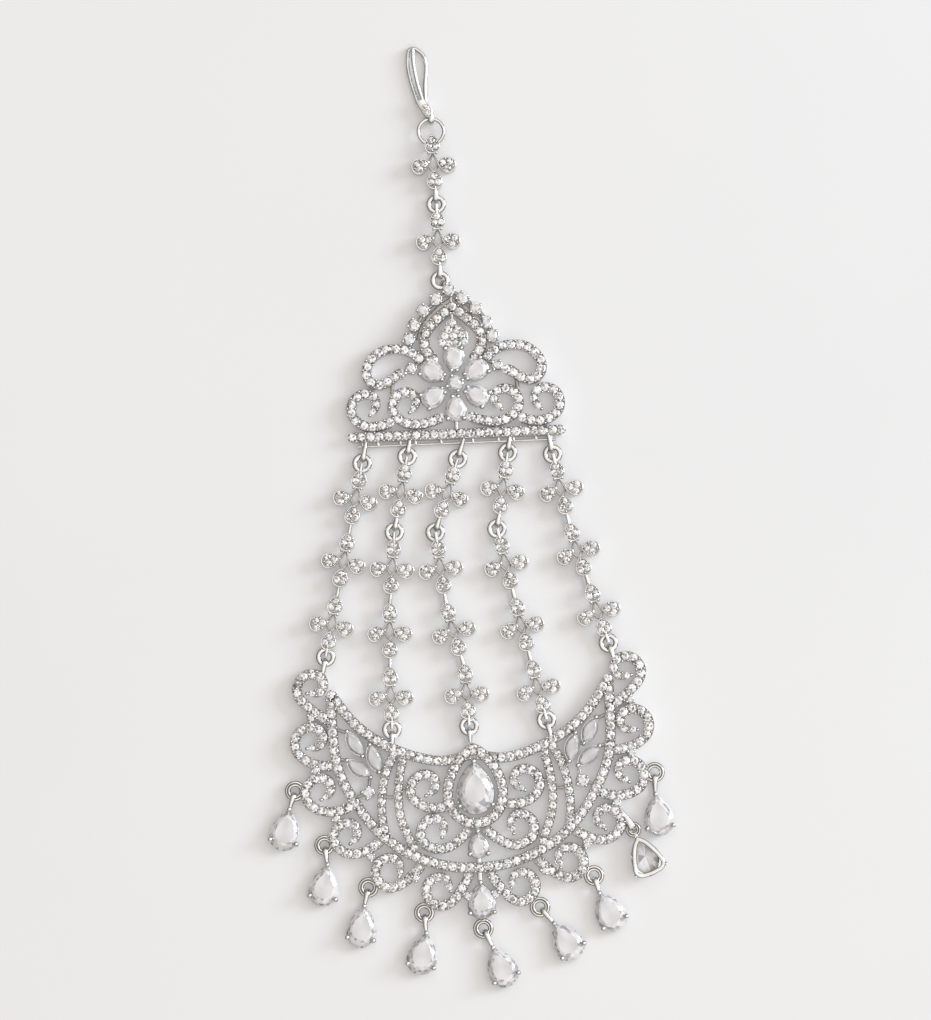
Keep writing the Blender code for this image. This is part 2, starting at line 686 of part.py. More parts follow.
def crescent_shapes():
    side = band(TOP_ARC, BAND)
    side += band(OUTER_ARC, BAND)
    side += band(OUTER_BAR, BAR_BAND) + band(INNER_BAR, BAR_BAND)
    for row in SCROLLS:
        side += round_ended(scroll(**row), SCROLL_BAND)
    side += [disc(x, y, STUD_RADIUS, 6) for x, y in STUDS]
    for x, y, turn in MARQUISES[1:]:
        side.append(placed(marquise(MARQUISE_LENGTH + 0.3, MARQUISE_WIDTH + 0.2), x, y, turn))
    side.append(disc(*CRESCENT_ROUND, 1.1))
    for stay in MARQUISE_STAYS:
        side += band(stay, STAY_WIDTH)
    shapes = both_sides(side)
    halo = placed(pear(PEAR_HALO["length"], PEAR_HALO["width"], 14, 0.5), 0, PEAR_HALO["y"])
    shapes += band(halo, BAND, closed=True)
    for row in (SMALL_PEAR, BOTTOM_PEAR):
        shapes.append(placed(pear(row["length"] + 0.4, row["width"] + 0.4), 0, row["y"]))
    shapes += band([(0, -4.9), (0, -12.3), (0, -15.5)], 0.9)
    return shapes


def pear_prongs(row, top):
    """Three posts that hold a pear stone: at its tip and at its two lower shoulders."""
    tip = (0, row["y"] + row["length"] / 2 + 0.45)
    shoulder = (row["width"] / 2 * 0.86 + 0.25, row["y"] - row["length"] * 0.33)
    return [post(x, y, PRONG_RADIUS, 0.3, top) for x, y in (tip, shoulder, (-shoulder[0], shoulder[1]))]


def crescent(metal, stone, parent, string_ends):
    shells = [slab(crescent_shapes(), 0, PLATE_TOP)]
    seat = placed(pear(LARGE_PEAR["length"] - 0.3, LARGE_PEAR["width"] - 0.3), 0, LARGE_PEAR["y"])
    shells.append(slab(band(seat, 1.1, closed=True), 0.2, 1.3))
    shells += pear_prongs(LARGE_PEAR, 3.4)
    for row in DROPS:
        shells += crescent_ring(row["ring"], row["root"])
    shells.append(turned_drop_loop())
    for ring, heading, length in string_ends:
        shells.append(carrier(CRESCENT_AT, CRESCENT_TURN, ring, heading, length))
    data = fused("crescent_frame", shells)
    part("crescent_frame", data, metal, parent, *CRESCENT_AT, CRESCENT_TURN)
    crescent_stones(stone, parent)


def crescent_ring(ring, root):
    """Flat fixed ring that a drop hangs from, with a short stem to the crescent's edge."""
    x, y = to_frame(CRESCENT_AT, CRESCENT_TURN, ring)
    foot = to_frame(CRESCENT_AT, CRESCENT_TURN, root)
    toward = (Vector(foot) - Vector((x, y))).normalized()
    start = math.degrees(math.atan2(toward.x, toward.y))
    washer = placed([(px, py) for px, py, _ in ring_path(RING_RADIUS, 0)], x, y, -start)
    edge = Vector((x, y)) + toward * RING_RADIUS
    shapes = band(washer, WASHER_BAND, closed=True) + band([tuple(edge), foot], 0.8)
    return [slab(shapes, LINK_Z - WASHER_HALF, LINK_Z + WASHER_HALF)]


def turned_drop_loop():
    """Upright loop of the crescent that holds the drop that lies face down."""
    row = TURNED_DROP
    along = heading_vector(row["loop"])
    middle = Vector(row["ring"]) - along * TURNED_RING_RADIUS
    length = (middle - Vector(row["root"])).length
    pin = hairpin(length, 0, LOOP_RADIUS, LOOP_WIRE, LINK_Z)
    x, y = to_frame(CRESCENT_AT, CRESCENT_TURN, tuple(middle))
    return turned(pin, x, y, row["loop"] - CRESCENT_TURN)


def crescent_stones(stone, parent):
    where = dict(x=CRESCENT_AT[0], y=CRESCENT_AT[1], turn=CRESCENT_TURN)
    pears = (
        ("large_pear_stone", LARGE_PEAR, 0.35, 2.1, 3.5, None, 14),
        ("small_pear_stone", SMALL_PEAR, PLATE_TOP + STONE_GAP, 2.5, 3.1, 0.7, 10),
        ("bottom_pear_stone", BOTTOM_PEAR, PLATE_TOP + STONE_GAP, 2.6, 3.4, 0.7, 10),
    )
    for name, row, culet, girdle, table, back, sides in pears:
        outline = placed(pear(row["length"] - 0.5, row["width"] - 0.5, sides), 0, row["y"])
        shape = cut_stone(outline, culet, girdle, table, 0.55, back)
        part(name, mesh_of(name, [shape]), stone, parent, **where)
    low = PLATE_TOP + STONE_GAP
    for tag, flip in (("right", 1), ("left", -1)):
        for i, (x, y, turn) in enumerate(MARQUISES[1:]):
            outline = placed(marquise(MARQUISE_LENGTH, MARQUISE_WIDTH), flip * x, y, flip * turn)
            shape = cut_stone(outline, low, low + 0.25, low + 0.85, 0.5, 0.8)
            name = f"marquise_stone_{tag}_{i + 1}"
            part(name, mesh_of(name, [shape]), stone, parent, **where)
        x, y = CRESCENT_ROUND
        shape = cut_stone(disc(flip * x, y, 1.0, 10), low, low + 0.25, low + 0.85, 0.58, 0.7)
        name = f"round_stone_{tag}"
        part(name, mesh_of(name, [shape]), stone, parent, **where)


# Drops


def set_drop(y, low, high):
    """Open pear frame with its stone as one shell, the tip at y, the culet in the open back."""
    outline = pear(DROP_LENGTH, DROP_WIDTH)
    count = len(outline)
    middle = y - DROP_LENGTH / 2
    sides = zip(outline, outline[1:] + outline[:1])
    facet_turn = [((a[0] + b[0]) / 2, (a[1] + b[1]) / 2) for a, b in sides]
    levels = (
        (facet_turn, 0.52, high),
        (outline, 0.92, DROP_FRAME_TOP + 0.2),
        (outline, 1.0, DROP_FRAME_TOP),
        (outline, 1.0, low),
        (outline, 1 - 2 * DROP_FRAME / DROP_WIDTH, low),
        (outline, 1 - 2 * DROP_FRAME / DROP_WIDTH, DROP_FRAME_TOP - 0.3),
    )
    points = [(x * share, middle + py * share, z) for shape, share, z in levels for x, py in shape]
    points.append((0, middle - 0.6, low + 0.25))
    faces = [list(range(count))]
    for i in range(count):
        j = (i + 1) % count
        faces.append([i, count + i, count + j])
        faces.append([i, count + j, j])
        for level in range(1, len(levels) - 1):
            a = level * count
            faces.append([a + i, a + count + i, a + count + j, a + j])
        last = (len(levels) - 1) * count
        faces.append([last + i, len(points) - 1, last + j])
    return points, faces


def drop_setting(y, low, high):
    """The set stone and its three prongs, with the stone's tip at y and its body below."""
    shoulder = (DROP_WIDTH * 0.44, y - DROP_LENGTH * 0.8)
    shells = [set_drop(y, low, high)]
    for x, py in (shoulder, (-shoulder[0], shoulder[1])):
        shells.append(post(x, py, 0.42, low + 0.05, high - 0.3))
    return shells


def drop(row):
    """Drop about the middle of its ring, in the frame of its stone's heading."""
    tip = placed([(0, -row["reach"])], 0, 0, row["bail"] - row["stone"])[0]
    bail = hairpin(-row["reach"] - 0.4, -RING_RADIUS, LOOP_RADIUS, LOOP_WIRE, LINK_Z)
    shells = [turned(shell, tip[0], 0, 0) for shell in drop_setting(tip[1], 0, 2.7)]
    return shells + [turned(bail, 0, 0, row["bail"] - row["stone"])]


def turned_drop():
    """The drop that lies face down: its ring is flat and its frame is on top."""
    upright = drop_setting(-TURNED_RING_RADIUS - 0.55, 0, 2.7)
    over = Matrix.Translation((0, 0, 2.7)) @ Matrix.Rotation(math.pi, 4, "Y")
    shells = [moved(shell, over) for shell in upright]
    shells.append(flat_ring(TURNED_RING_RADIUS, TURNED_RING_WIRE, LINK_Z))
    neck = band([(0, -TURNED_RING_RADIUS), (0, -TURNED_RING_RADIUS - 1.4)], 0.7)
    shells.append(slab(neck, LINK_Z - TURNED_RING_WIRE, LINK_Z + TURNED_RING_WIRE))
    return shells


def drops(metal, parent):
    for i, row in enumerate(DROPS):
        name = f"drop_{i + 1}"
        part(name, fused(name, drop(row)), metal, parent, *row["ring"], row["stone"])
    row = TURNED_DROP
    part("drop_turned", fused("drop_turned", turned_drop()), metal, parent, *row["ring"], row["stone"])


def centre_on_origin(root):
    """Moves the whole piece so that its box stands on the origin."""
    bpy.context.view_layer.update()
    corners = []
    for item in bpy.data.objects:
        if item.type == "MESH":
            corners += [item.matrix_world @ v.co for v in item.data.vertices]
    middle = [(min(c[i] for c in corners) + max(c[i] for c in corners)) / 2 for i in (0, 1)]
    root.location = (-middle[0], -middle[1], -min(c.z for c in corners))


def main():
    clear_scene()
    root = bpy.data.objects.new("jhoomar", None)
    bpy.context.scene.collection.objects.link(root)
    metal = white_metal("polished_white_metal")
    stone = clear_stone("clear_stone")
    hook_and_ring(metal, root)
    top_ring = hang_string("top", HOOK_RING_AT, TOP_FLORETS, "ring", metal, root)
    tops = [(row["ring"], row["florets"][0][1]) for row in STRINGS]
    crown(metal, stone, root, top_ring, tops)
    ends = []
    for i, row in enumerate(STRINGS):
        tag = f"string{i + 1}"
        lay_ring(f"ring_{tag}_1", row["ring"], row["florets"][0][1], metal, root)
        last = hang_string(tag, row["ring"], row["florets"], "tucked", metal, root)
        ends.append((tuple(last), row["florets"][-1][1], row["carrier"]))
    crescent(metal, stone, root, ends)
    drops(metal, root)
    centre_on_origin(root)


main()
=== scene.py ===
"""Looks of the jhoomar: set stones, milled edges, polished metal, paper, light and camera.

Lengths are in millimetres. SHIFT takes the places in the tables to the frame's own.
"""

import math
import random

import bmesh
import bpy
from mathutils import Matrix, Vector


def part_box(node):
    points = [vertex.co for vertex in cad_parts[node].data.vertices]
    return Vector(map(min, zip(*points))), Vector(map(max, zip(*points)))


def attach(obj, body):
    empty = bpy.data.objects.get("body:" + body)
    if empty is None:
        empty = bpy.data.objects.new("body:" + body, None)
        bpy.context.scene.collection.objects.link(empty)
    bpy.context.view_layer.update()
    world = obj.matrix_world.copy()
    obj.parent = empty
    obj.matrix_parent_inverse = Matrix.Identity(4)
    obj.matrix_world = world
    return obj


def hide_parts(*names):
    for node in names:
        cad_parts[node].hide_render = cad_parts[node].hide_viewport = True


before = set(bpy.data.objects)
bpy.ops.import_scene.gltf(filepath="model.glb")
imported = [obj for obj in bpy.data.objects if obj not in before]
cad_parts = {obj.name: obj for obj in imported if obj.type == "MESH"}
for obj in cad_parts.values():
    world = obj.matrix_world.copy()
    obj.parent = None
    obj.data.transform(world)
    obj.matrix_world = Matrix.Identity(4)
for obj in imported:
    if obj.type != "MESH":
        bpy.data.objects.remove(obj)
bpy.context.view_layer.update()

MM = 0.001

# Wire, loops and jump rings
LINK_Z = 1.15  # height of every jump ring's middle
RING_RADIUS = 1.18  # middle of the wire of a jump ring
RING_WIRE = 0.42
LOOP_RADIUS = 0.80  # middle of the wire of a fixed loop that holds a ring
LOOP_WIRE = 0.26
SLIM_LOOP_RADIUS = 0.53  # flatter loop that hooks a bar under the next floret
SLIM_LOOP_WIRE = 0.22
SLIM_LOOP_Z = 0.95
WASHER_BAND = 0.8  # fixed rings of the crescent
WASHER_HALF = 0.3

# Plates
PLATE_TOP = 2.1
RAIL_TOP = 1.4
BAND = 1.65  # width of a row of small stones with its rims
SCROLL_BAND = 1.6

# Florets: petal T points up the string, B down it, L and R droop outwards
FLORET_SPAN = 5.82  # T middle to B middle
PETAL_LENGTH = 3.05
PETAL_WIDTH = 2.5
SIDE_PETAL_X = 2.05
SIDE_PETAL_Y = -0.5
SIDE_PETAL_DROOP = 22
WEB_TOP = 1.5  # the kite of metal round the floret's middle hole
WEB_SIDE = (0.85, -0.2)
WEB_FOOT = -1.45
CUP_BOTTOM = 0.3
CUP_TOP = 2.35
LEAF_BOTTOM = 1.75  # underside of a petal that covers a ring or a bar
LEAF_TOP = 2.3

# Distances along a string, for the kinds of link
RING_TO_PETAL = 2.62  # ring middle to the middle of a petal that is tucked over it
HOOK_TO_PETAL = 2.16
RING_BELOW = 3.87  # B middle to the middle of a ring that hangs clear below it
BAR_TO_PETAL = 0.62
PIVOT_BELOW = 3.81  # B middle to the bar under the next floret
TO_PETAL = dict(ring=RING_TO_PETAL, bar=BAR_TO_PETAL, hook=HOOK_TO_PETAL)
FROM_PETAL = dict(ring=RING_BELOW, bar=PIVOT_BELOW, tucked=RING_TO_PETAL)

# Strings: first ring's place, one (link above, heading) per floret, and the length of the
# crescent's loop that carries the last ring.
# A heading is degrees from straight down (-Y), positive towards +X.
STRINGS = (
    dict(ring=(-17.6, 8.7), links=(("ring", -10.5), ("bar", -10.8), ("bar", -10.2)), carrier=2.1),
    dict(ring=(-10.4, 9.8), links=(("ring", -9.5), ("ring", -3.5), ("bar", 0.5), ("bar", 2.0)), carrier=1.9),
    dict(ring=(-2.3, 9.4), links=(("ring", -17.0), ("ring", 8.5), ("bar", 16.5), ("bar", 4.5)), carrier=1.5),
    dict(ring=(5.7, 10.4), links=(("ring", -8.0), ("ring", 14.0), ("bar", 14.5), ("bar", 15.0)), carrier=2.0),
    dict(ring=(12.9, 10.2), links=(("ring", 13.0), ("bar", 18.5), ("bar", 18.5)), carrier=1.8),
)

# Top chain
HOOK_RING_AT = (-6.6, 62.3)
HOOK_RING_RADIUS = 2.05
HOOK_RING_WIRE = 0.33
HOOK_WIRE = 0.33
TOP_FLORETS = (("hook", 4.0), ("ring", 3.0))

# Crown, in its own frame: origin at the flower's middle, +Y to the top stone
CROWN = (-2.8, 21.5, 2.3)  # x, y and turn of its frame
LARGE_ROUND = 0.98  # radius of the larger round stones
# Stones that edge the crown, from the top one down one side
EDGE_ROUNDS = ((0.0, 15.1), (2.15, 13.7), (4.2, 11.95), (5.8, 9.65), (6.75, 7.4))
EDGE_LEAN = -0.35  # how far they stand to one side
LOOP_ROUND = (6.9, 2.65)
ARCH = ((0.0, 12.4), (1.9, 10.9), (3.8, 9.1), (4.6, 7.5), (4.4, 5.6), (3.2, 3.9))
ARCH_BAND = 1.75
ARCH_EDGE = ((0.0, 13.6), (1.9, 12.4), (3.75, 10.7), (4.95, 8.9), (5.55, 7.2))  # low plate round it
TEARDROP_Y = 7.95
TEARDROP_LENGTH = 5.1
TEARDROP_WIDTH = 4.9
TEARDROP_SPOTS = (
    (0, 1.8), (0, -0.35), (0.66, 0.74), (-0.66, 0.74), (1.36, -0.3), (-1.36, -0.3),
    (0.68, -1.5), (-0.68, -1.5), (1.8, -1.3), (-1.8, -1.3),
)
LOOP_CURVE = (
    (5.5, 4.2), (6.8, 5.3), (8.9, 5.9), (11.5, 5.6), (13.5, 4.0), (14.1, 2.0), (13.3, 0.6),
    (11.9, 0.2), (10.4, 0.8), (9.1, 1.8), (8.3, 2.0),
)
PETAL_RING = 3.95  # flower's middle to the middle of its petals
PETAL_STONE_LENGTH = 4.1
PETAL_STONE_WIDTH = 3.2
# Balls that hold a petal: reach from the flower's middle, degrees aside and radius
PETAL_BALLS = ((2.15, 12, 0.36), (2.15, -12, 0.36), (5.8, 13, 0.42), (5.8, -13, 0.42))
BAR_HALF = 16.8
BAR_Y = -8.1
BAR_WIDTH = 1.65
RAIL_Y = -9.55
RAIL_POSTS = (2.55, 6.65, 9.05, 12.65, 15.1)
CROWN_STAYS = (
    ((9.9, 0.6), (10.1, -1.2)), EDGE_ROUNDS, (LOOP_ROUND, (4.6, 4.4)), ((6.2, -5.7), (6.2, BAR_Y)),
    ((12.6, -6.0), (12.6, BAR_Y)),
)
CROWN_SPINE = ((15.1, 12.4), (10.2, 12.2), (5.6, 3.0), (-5.6, BAR_Y))  # stays on the middle line
CROWN_SCROLLS = (
    dict(x=14.3, y=-3.6, radius=2.5, start=240, sweep=264, tail=(10.6, -5.9)),
    dict(x=7.8, y=-3.4, radius=2.37, start=239, sweep=266, tail=(2.4, -5.4)),
)

# Crescent, in its own frame: origin at the large pear's middle
CRESCENT = (0.5, -43.6, 3.3)
TOP_ARC = ((0.0, 5.9), (4.3, 5.0), (8.2, 5.6), (12.3, 7.2), (16.0, 9.4), (19.2, 12.4), (22.1, 16.6))
OUTER_ARC = (
    (0.0, -12.3), (4.3, -11.9), (8.6, -10.6), (12.7, -8.4), (16.0, -5.4), (18.5, -2.0),
    (20.5, 1.6), (21.7, 5.0), (22.1, 8.6), (22.2, 12.4), (22.2, 16.4),
)
OUTER_BAR = ((12.7, 6.4), (14.2, 3.2), (14.9, -0.4), (15.0, -3.6), (14.5, -6.9))
INNER_BAR = ((11.3, 5.4), (12.0, 2.4), (12.3, -0.8), (11.9, -4.4), (10.3, -8.5))
BAR_BAND = 1.4
SCROLLS = (
    dict(x=25.0, y=17.5, radius=2.53, start=229, sweep=336, tail=(22.4, 12.2)),
    dict(x=25.6, y=8.9, radius=2.72, start=235, sweep=328, tail=(22.4, 5.2)),
    dict(x=24.5, y=0.9, radius=2.56, start=244, sweep=289, tail=(20.3, -1.6)),
    dict(x=20.6, y=-6.3, radius=2.35, start=237, sweep=270, tail=(15.5, -7.2)),
    dict(x=14.3, y=-12.2, radius=2.34, start=225, sweep=228, tail=(9.2, -11.4)),
    dict(x=6.5, y=-15.6, radius=2.27, start=241, sweep=221, tail=(1.6, -13.0)),
    dict(x=7.9, y=0.6, radius=2.45, start=234, sweep=279, tail=(4.2, -2.2)),
    dict(x=6.7, y=-6.4, radius=2.4, start=252, sweep=255, tail=(1.3, -6.1)),
)
STUDS = ((25.5, 13.0), (25.2, 4.6), (22.4, -3.2), (17.2, -9.6), (10.3, -13.3), (2.2, -16.6))
MARQUISES = ((18.75, 8.5, -29.0), (15.8, 6.0, -15.5), (18.35, 4.5, -51.0))  # x, y and turn
# Short stays that tie the marquise seats, the round seats and the bars together
MARQUISE_STAYS = (
    ((19.8, 10.3), (21.7, 11.0)), ((17.5, 6.6), (16.2, 6.2)), ((20.0, 5.8), (21.6, 6.4)),
    ((16.4, 8.0), (16.1, 9.3)), ((15.2, 4.2), (14.2, 3.6)), ((16.6, 3.2), (17.1, 0.6)),
    ((17.1, 0.6), (19.6, -0.2)), ((12.0, -0.3), (15.0, -0.3)), ((10.4, 0.9), (12.1, 1.2)),
)
MARQUISE_LENGTH = 4.4
MARQUISE_WIDTH = 2.15
CRESCENT_ROUND = (17.1, 0.6)
PEAR_HALO = dict(y=0.75, length=12.0, width=8.8)
# Pear stones of the middle line; foot is the height where a seat starts
PEARS = (
    dict(y=0.35, length=8.2, width=5.9, foot=0.2, culet=0.5, table=3.1, sides=36),
    dict(y=-8.7, length=4.1, width=3.1, foot=0, culet=1.0, table=2.65, sides=24),
    dict(y=-17.6, length=5.5, width=4.3, foot=0, culet=0.8, table=2.85, sides=28),
)
PEAR_GIRDLE = 2.1

# Drops: ring's place and the crescent point that carries it, then bail and stone headings.
# Reach is from the ring's middle to the ball at the stone's tip.
DROPS = (
    dict(ring=(-28.2, -43.7), root=(-26.4, -42.6), reach=3.15, bail=-17.4, stone=-10.6),
    dict(ring=(-23.5, -52.3), root=(-22.6, -50.7), reach=3.24, bail=8.5, stone=-8.6),
    dict(ring=(-16.5, -59.0), root=(-15.4, -57.5), reach=3.11, bail=-11.9, stone=-6.8),
    dict(ring=(-7.6, -63.0), root=(-6.7, -61.3), reach=3.34, bail=5.2, stone=-9.9),
    dict(ring=(1.8, -65.5), root=(1.6, -63.8), reach=3.48, bail=26.2, stone=24.0),
    dict(ring=(10.8, -62.1), root=(9.3, -61.1), reach=3.55, bail=40.0, stone=35.0),
    dict(ring=(19.4, -57.1), root=(18.0, -56.2), reach=3.0, bail=17.0, stone=28.0),
    dict(ring=(29.1, -40.7), root=(27.4, -40.1), reach=3.6, bail=1.9, stone=8.4),
)
TURNED_DROP = dict(ring=(25.7, -49.8), root=(22.9, -45.6), loop=32.7, stone=23.2)
DROP_LENGTH = 6.7
DROP_WIDTH = 5.0
DROP_FRAME_TOP = 1.25
TURNED_RING_RADIUS = 0.8
TURNED_RING_WIRE = 0.28
TURNED_STRAP = 2.3
# Half of the three-cornered frame of the turned drop, from its tip
TURNED_FLANK = ((0, 3.05), (0.9, 2.1), (1.75, 0.4), (2.2, -1.0), (2.3, -1.9), (1.6, -2.6), (0, -2.8))

MARQUISE_FULLNESS = 0.75  # half for an ellipse, one for two plain arcs
SCROLL_HOLD = 150  # degrees of a scroll that keep its full radius
SCROLL_FALL = 170  # degrees over which the radius then falls
SCROLL_DROP = 0.75

# Set rows
STEP = 0.5  # spacing of the points along a smooth row
PITCH = 1.47  # spacing of its stones
BEAD = 0.19
RIM = 0.13  # width of the bright edge of a row
FLOOR_DROP = 0.5  # how far the floor of a row lies under its edges
SEAT_DEPTH = 0.05  # how far a small stone's girdle lies under the edges of its row
EYE_START = 0.76  # share of a scroll's length where its row starts to narrow
EYE_NARROWING = 0.36
FILL_STONES = ((0.5, 0.98), (0.38, 0.84))  # radius and room asked for, where rows meet
GRAIN = (0.24, 0.7)
LEAST_MITRE = 0.6  # a swept path widens no more than this at its corners

# Small stones, in shares of their radius
TILT = 6.0  # most degrees that one leans
SMALL_TABLE = 0.6
SMALL_RISE = 0.2
SMALL_DEPTH = 0.55
FACET_REFLECTIONS = ((0.6, 0.94, 1.0), (0.8, 0.55, 0.8), (1.0, 0.15, 0.4))  # painted reflection of a facet: up to this share, from, to
# painted reflections on the table wedges of a small stone
TABLE_REFLECTIONS = (1.0, 1.0, 0.9, 0.55, 0.35)

# Large stones: their facet tones and table brightness are painted reflections
GIRDLE = 0.12
GEM_REFLECTIONS = (1.0, 1.0, 1.0, 0.95, 0.85, 0.7, 0.45, 0.3)
CALM_REFLECTIONS = (0.45, 0.55, 0.65, 0.92)
GEM_TABLE_REFLECTION = 0.8  # middle brightness of a table's painted reflection
CALM_TABLE_REFLECTION = 0.58
TABLE_REFLECTION_SWING = 0.14

# Painted shade on metal, as a share of the brightness of its flat tops, where less light would reach
PAINTED_WALL_SHADE = 0.8  # painted shade on sides, and on the underside of a ball
BALL_TOP = 0.34  # share of a ball, from its top, that is left fully bright; the rest is painted shade
# painted shade on the floor of a row or cup, between its walls
PAINTED_FLOOR_SHADE = 0.5
# stays and low plates painted darker, as if in shade
PAINTED_STAY_SHADE = 0.5
PAINTED_WIRE_OUTLINE = 0.6  # painted dark outlines along two sides of a wire
PAINTED_EDGE_SHADE = 0.4  # painted dark line where a wall turns to its bright edge
# painted shade in the groove of a flat ring
PAINTED_GROOVE_SHADE = 0.3
STRAP = 1.75  # width of a loop's strap where it bends, over its thickness

rng = random.Random(7)
# From the tables' origin to the frame's, by the hook's ring
low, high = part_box("hook_ring")
SHIFT = Vector(((low.x + high.x) / 2 / MM - HOOK_RING_AT[0], (low.y + high.y) / 2 / MM - HOOK_RING_AT[1], 0))


# Flat shapes, as lists of (x, y)


def mirror(points):
    return [(-x, y) for x, y in points]


def heading_vector(degrees):
    angle = math.radians(degrees)
    return Vector((math.sin(angle), -math.cos(angle)))


def turns(count):
    """Angles that share a full turn evenly, in radians."""
    return [math.tau * i / count for i in range(count)]

def circle(radius, sides, x=0.0, y=0.0):
    step = math.tau / sides
    return [
        (x + radius * math.cos((i + 0.5) * step), y + radius * math.sin((i + 0.5) * step))
        for i in range(sides)
    ]


def pear(length, width, sides=32, fullness=0.6):
    """Pear outline about its middle, with the narrow end towards +Y."""
    raw = []
    for i in range(sides):
        turn = math.tau * i / sides
        raw.append((math.sin(turn) * math.sin(turn / 2) ** fullness, math.cos(turn)))
    widest = max(x for x, _ in raw)
    return [(-x / widest * width / 2, y * length / 2) for x, y in raw]


def marquise(length, width, sides=24):
    half = sides // 2
    right = []
    for i in range(half):
        y = -math.cos(math.pi * i / half)
        right.append((width / 2 * (1 - y * y) ** MARQUISE_FULLNESS, y * length / 2))
    return right + [(-x, -y) for x, y in right]


def placed(points, x, y, turn=0.0):
    c = math.cos(math.radians(turn))
    s = math.sin(math.radians(turn))
    return [(x + px * c - py * s, y + px * s + py * c) for px, py in points]


def smooth(points, steps=6):
    """Catmull-Rom curve through the points."""
    knots = [Vector(p) for p in points]
    knots = [2 * knots[0] - knots[1], *knots, 2 * knots[-1] - knots[-2]]
    curve = []
    for a, b, c, d in zip(knots, knots[1:], knots[2:], knots[3:]):
        for i in range(steps):
            t = i / steps
            bend = (2 * a - 5 * b + 4 * c - d) * t * t + (3 * b - a - 3 * c + d) * t ** 3
            curve.append(tuple(b + 0.5 * ((c - a) * t + bend)))
    return curve + [tuple(knots[-2])]


def scroll(x, y, radius, start, sweep, tail, step=14):
    """Curve of a scroll on the +X side: a bent tail, a round back and an eye that winds in."""
    points = []
    count = round(sweep / step)
    for i in range(count + 1):
        turned = sweep * i / count
        fall = min(max((turned - SCROLL_HOLD) / SCROLL_FALL, 0.0), 1.0)
        reach = radius * (1 - SCROLL_DROP * fall * fall * (3 - 2 * fall))
        angle = math.radians(180 - start + turned)
        points.append(Vector((x + reach * math.cos(angle), y + reach * math.sin(angle))))
    along = (points[0] - points[1]).normalized()
    end = Vector(tail)
    bend = points[0] + along * (end - points[0]).length * 0.45
    tail_points = []
    for i in range(8):
        t = i / 8
        tail_points.append((1 - t) ** 2 * end + 2 * t * (1 - t) * bend + t * t * points[0])
    return [tuple(p) for p in tail_points + points]


def spaced(points, gap, closed=False):
    """Points at even distances along a curve, near the asked gap."""
    knots = [Vector(p) for p in points]
    if closed:
        knots.append(knots[0])
    lengths = [0.0]
    for a, b in zip(knots, knots[1:]):
        lengths.append(lengths[-1] + (b - a).length)
    count = max(round(lengths[-1] / gap), 1)
    result = []
    k = 0
    for i in range(count if closed else count + 1):
        want = lengths[-1] * i / count
        while k < len(lengths) - 2 and lengths[k + 1] < want:
            k += 1
        t = (want - lengths[k]) / max(lengths[k + 1] - lengths[k], 1e-9)
        result.append(tuple(knots[k].lerp(knots[k + 1], t)))
    return result


def inside(point, outline):
    x, y = point
    odd = False
    for (ax, ay), (bx, by) in zip(outline, outline[1:] + outline[:1]):
        if (ay > y) != (by > y) and x < (bx - ax) * (y - ay) / (by - ay) + ax:
            odd = not odd
    return odd


# Solids, collected as one mesh per piece


class Shape:
    """Points, faces and a painted brightness per face or per corner, in millimetres: painted shade on metal,
    painted reflections on stones.
    """

    def __init__(self):
        self.points = []
        self.faces = []
        self.shades = []

    def add(self, points, faces, shades=None, matrix=None):
        base = len(self.points)
        for p in points:
            self.points.append(tuple(matrix @ Vector(p)) if matrix else tuple(p))
        self.faces += [[base + i for i in face] for face in faces]
        self.shades += shades or [1.0] * len(faces)

    def join(self, other, matrix=None):
        self.add(other.points, other.faces, other.shades, matrix)

    def mesh(self, name, material, smooth_angle=35):
        data = bpy.data.meshes.new(name)
        data.from_pydata([[c * MM for c in p] for p in self.points], [], self.faces)
        colours = data.color_attributes.new("shade", "FLOAT_COLOR", "CORNER")
        for face, shade in zip(data.polygons, self.shades):
            for i, k in enumerate(face.loop_indices):
                level = shade if isinstance(shade, float) else shade[i]
                colours.data[k].color = (level, level, level, 1.0)
        work = bmesh.new()
        work.from_mesh(data)
        bmesh.ops.recalc_face_normals(work, faces=work.faces)
        if smooth_angle:
            for face in work.faces:
                face.smooth = True
            limit = math.radians(smooth_angle)
            for edge in work.edges:
                edge.smooth = len(edge.link_faces) == 2 and edge.calc_face_angle() < limit
        work.to_mesh(data)
        work.free()
        data.materials.append(material)
        return data


def at(x, y, turn=0.0, z=0.0):
    return Matrix.Translation((x, y, z)) @ Matrix.Rotation(math.radians(turn), 4, "Z")


def lofted(shape, rings, closed_path=False, around=None, along=None):
    """Skin over rings of equal count, with an end cap at each side of an open path.

    around and along are the painted shades of its faces, round each ring and from ring to ring.
    """
    count = len(rings)
    sides = len(rings[0])
    around = around or [1.0] * sides
    along = along or [1.0] * count
    points = [p for ring in rings for p in ring]
    faces = []
    shades = []
    for i in range(count if closed_path else count - 1):
        j = (i + 1) % count
        for k in range(sides):
            m = (k + 1) % sides
            faces.append([i * sides + k, i * sides + m, j * sides + m, j * sides + k])
            shades.append(around[k] * along[i])
    if not closed_path:
        faces.append(list(range(sides))[::-1])
        faces.append([(count - 1) * sides + k for k in range(sides)])
        shades += [along[0], along[-1]]
    shape.add(points, faces, shades)


def neighbours(knots, closed):
    """Each knot of a path with those before and after it, or itself again at an open end."""
    count = len(knots)
    for i, knot in enumerate(knots):
        before = knots[i - 1] if closed or i else knot
        after = knots[(i + 1) % count] if closed or i < count - 1 else knot
        yield knot, before, after

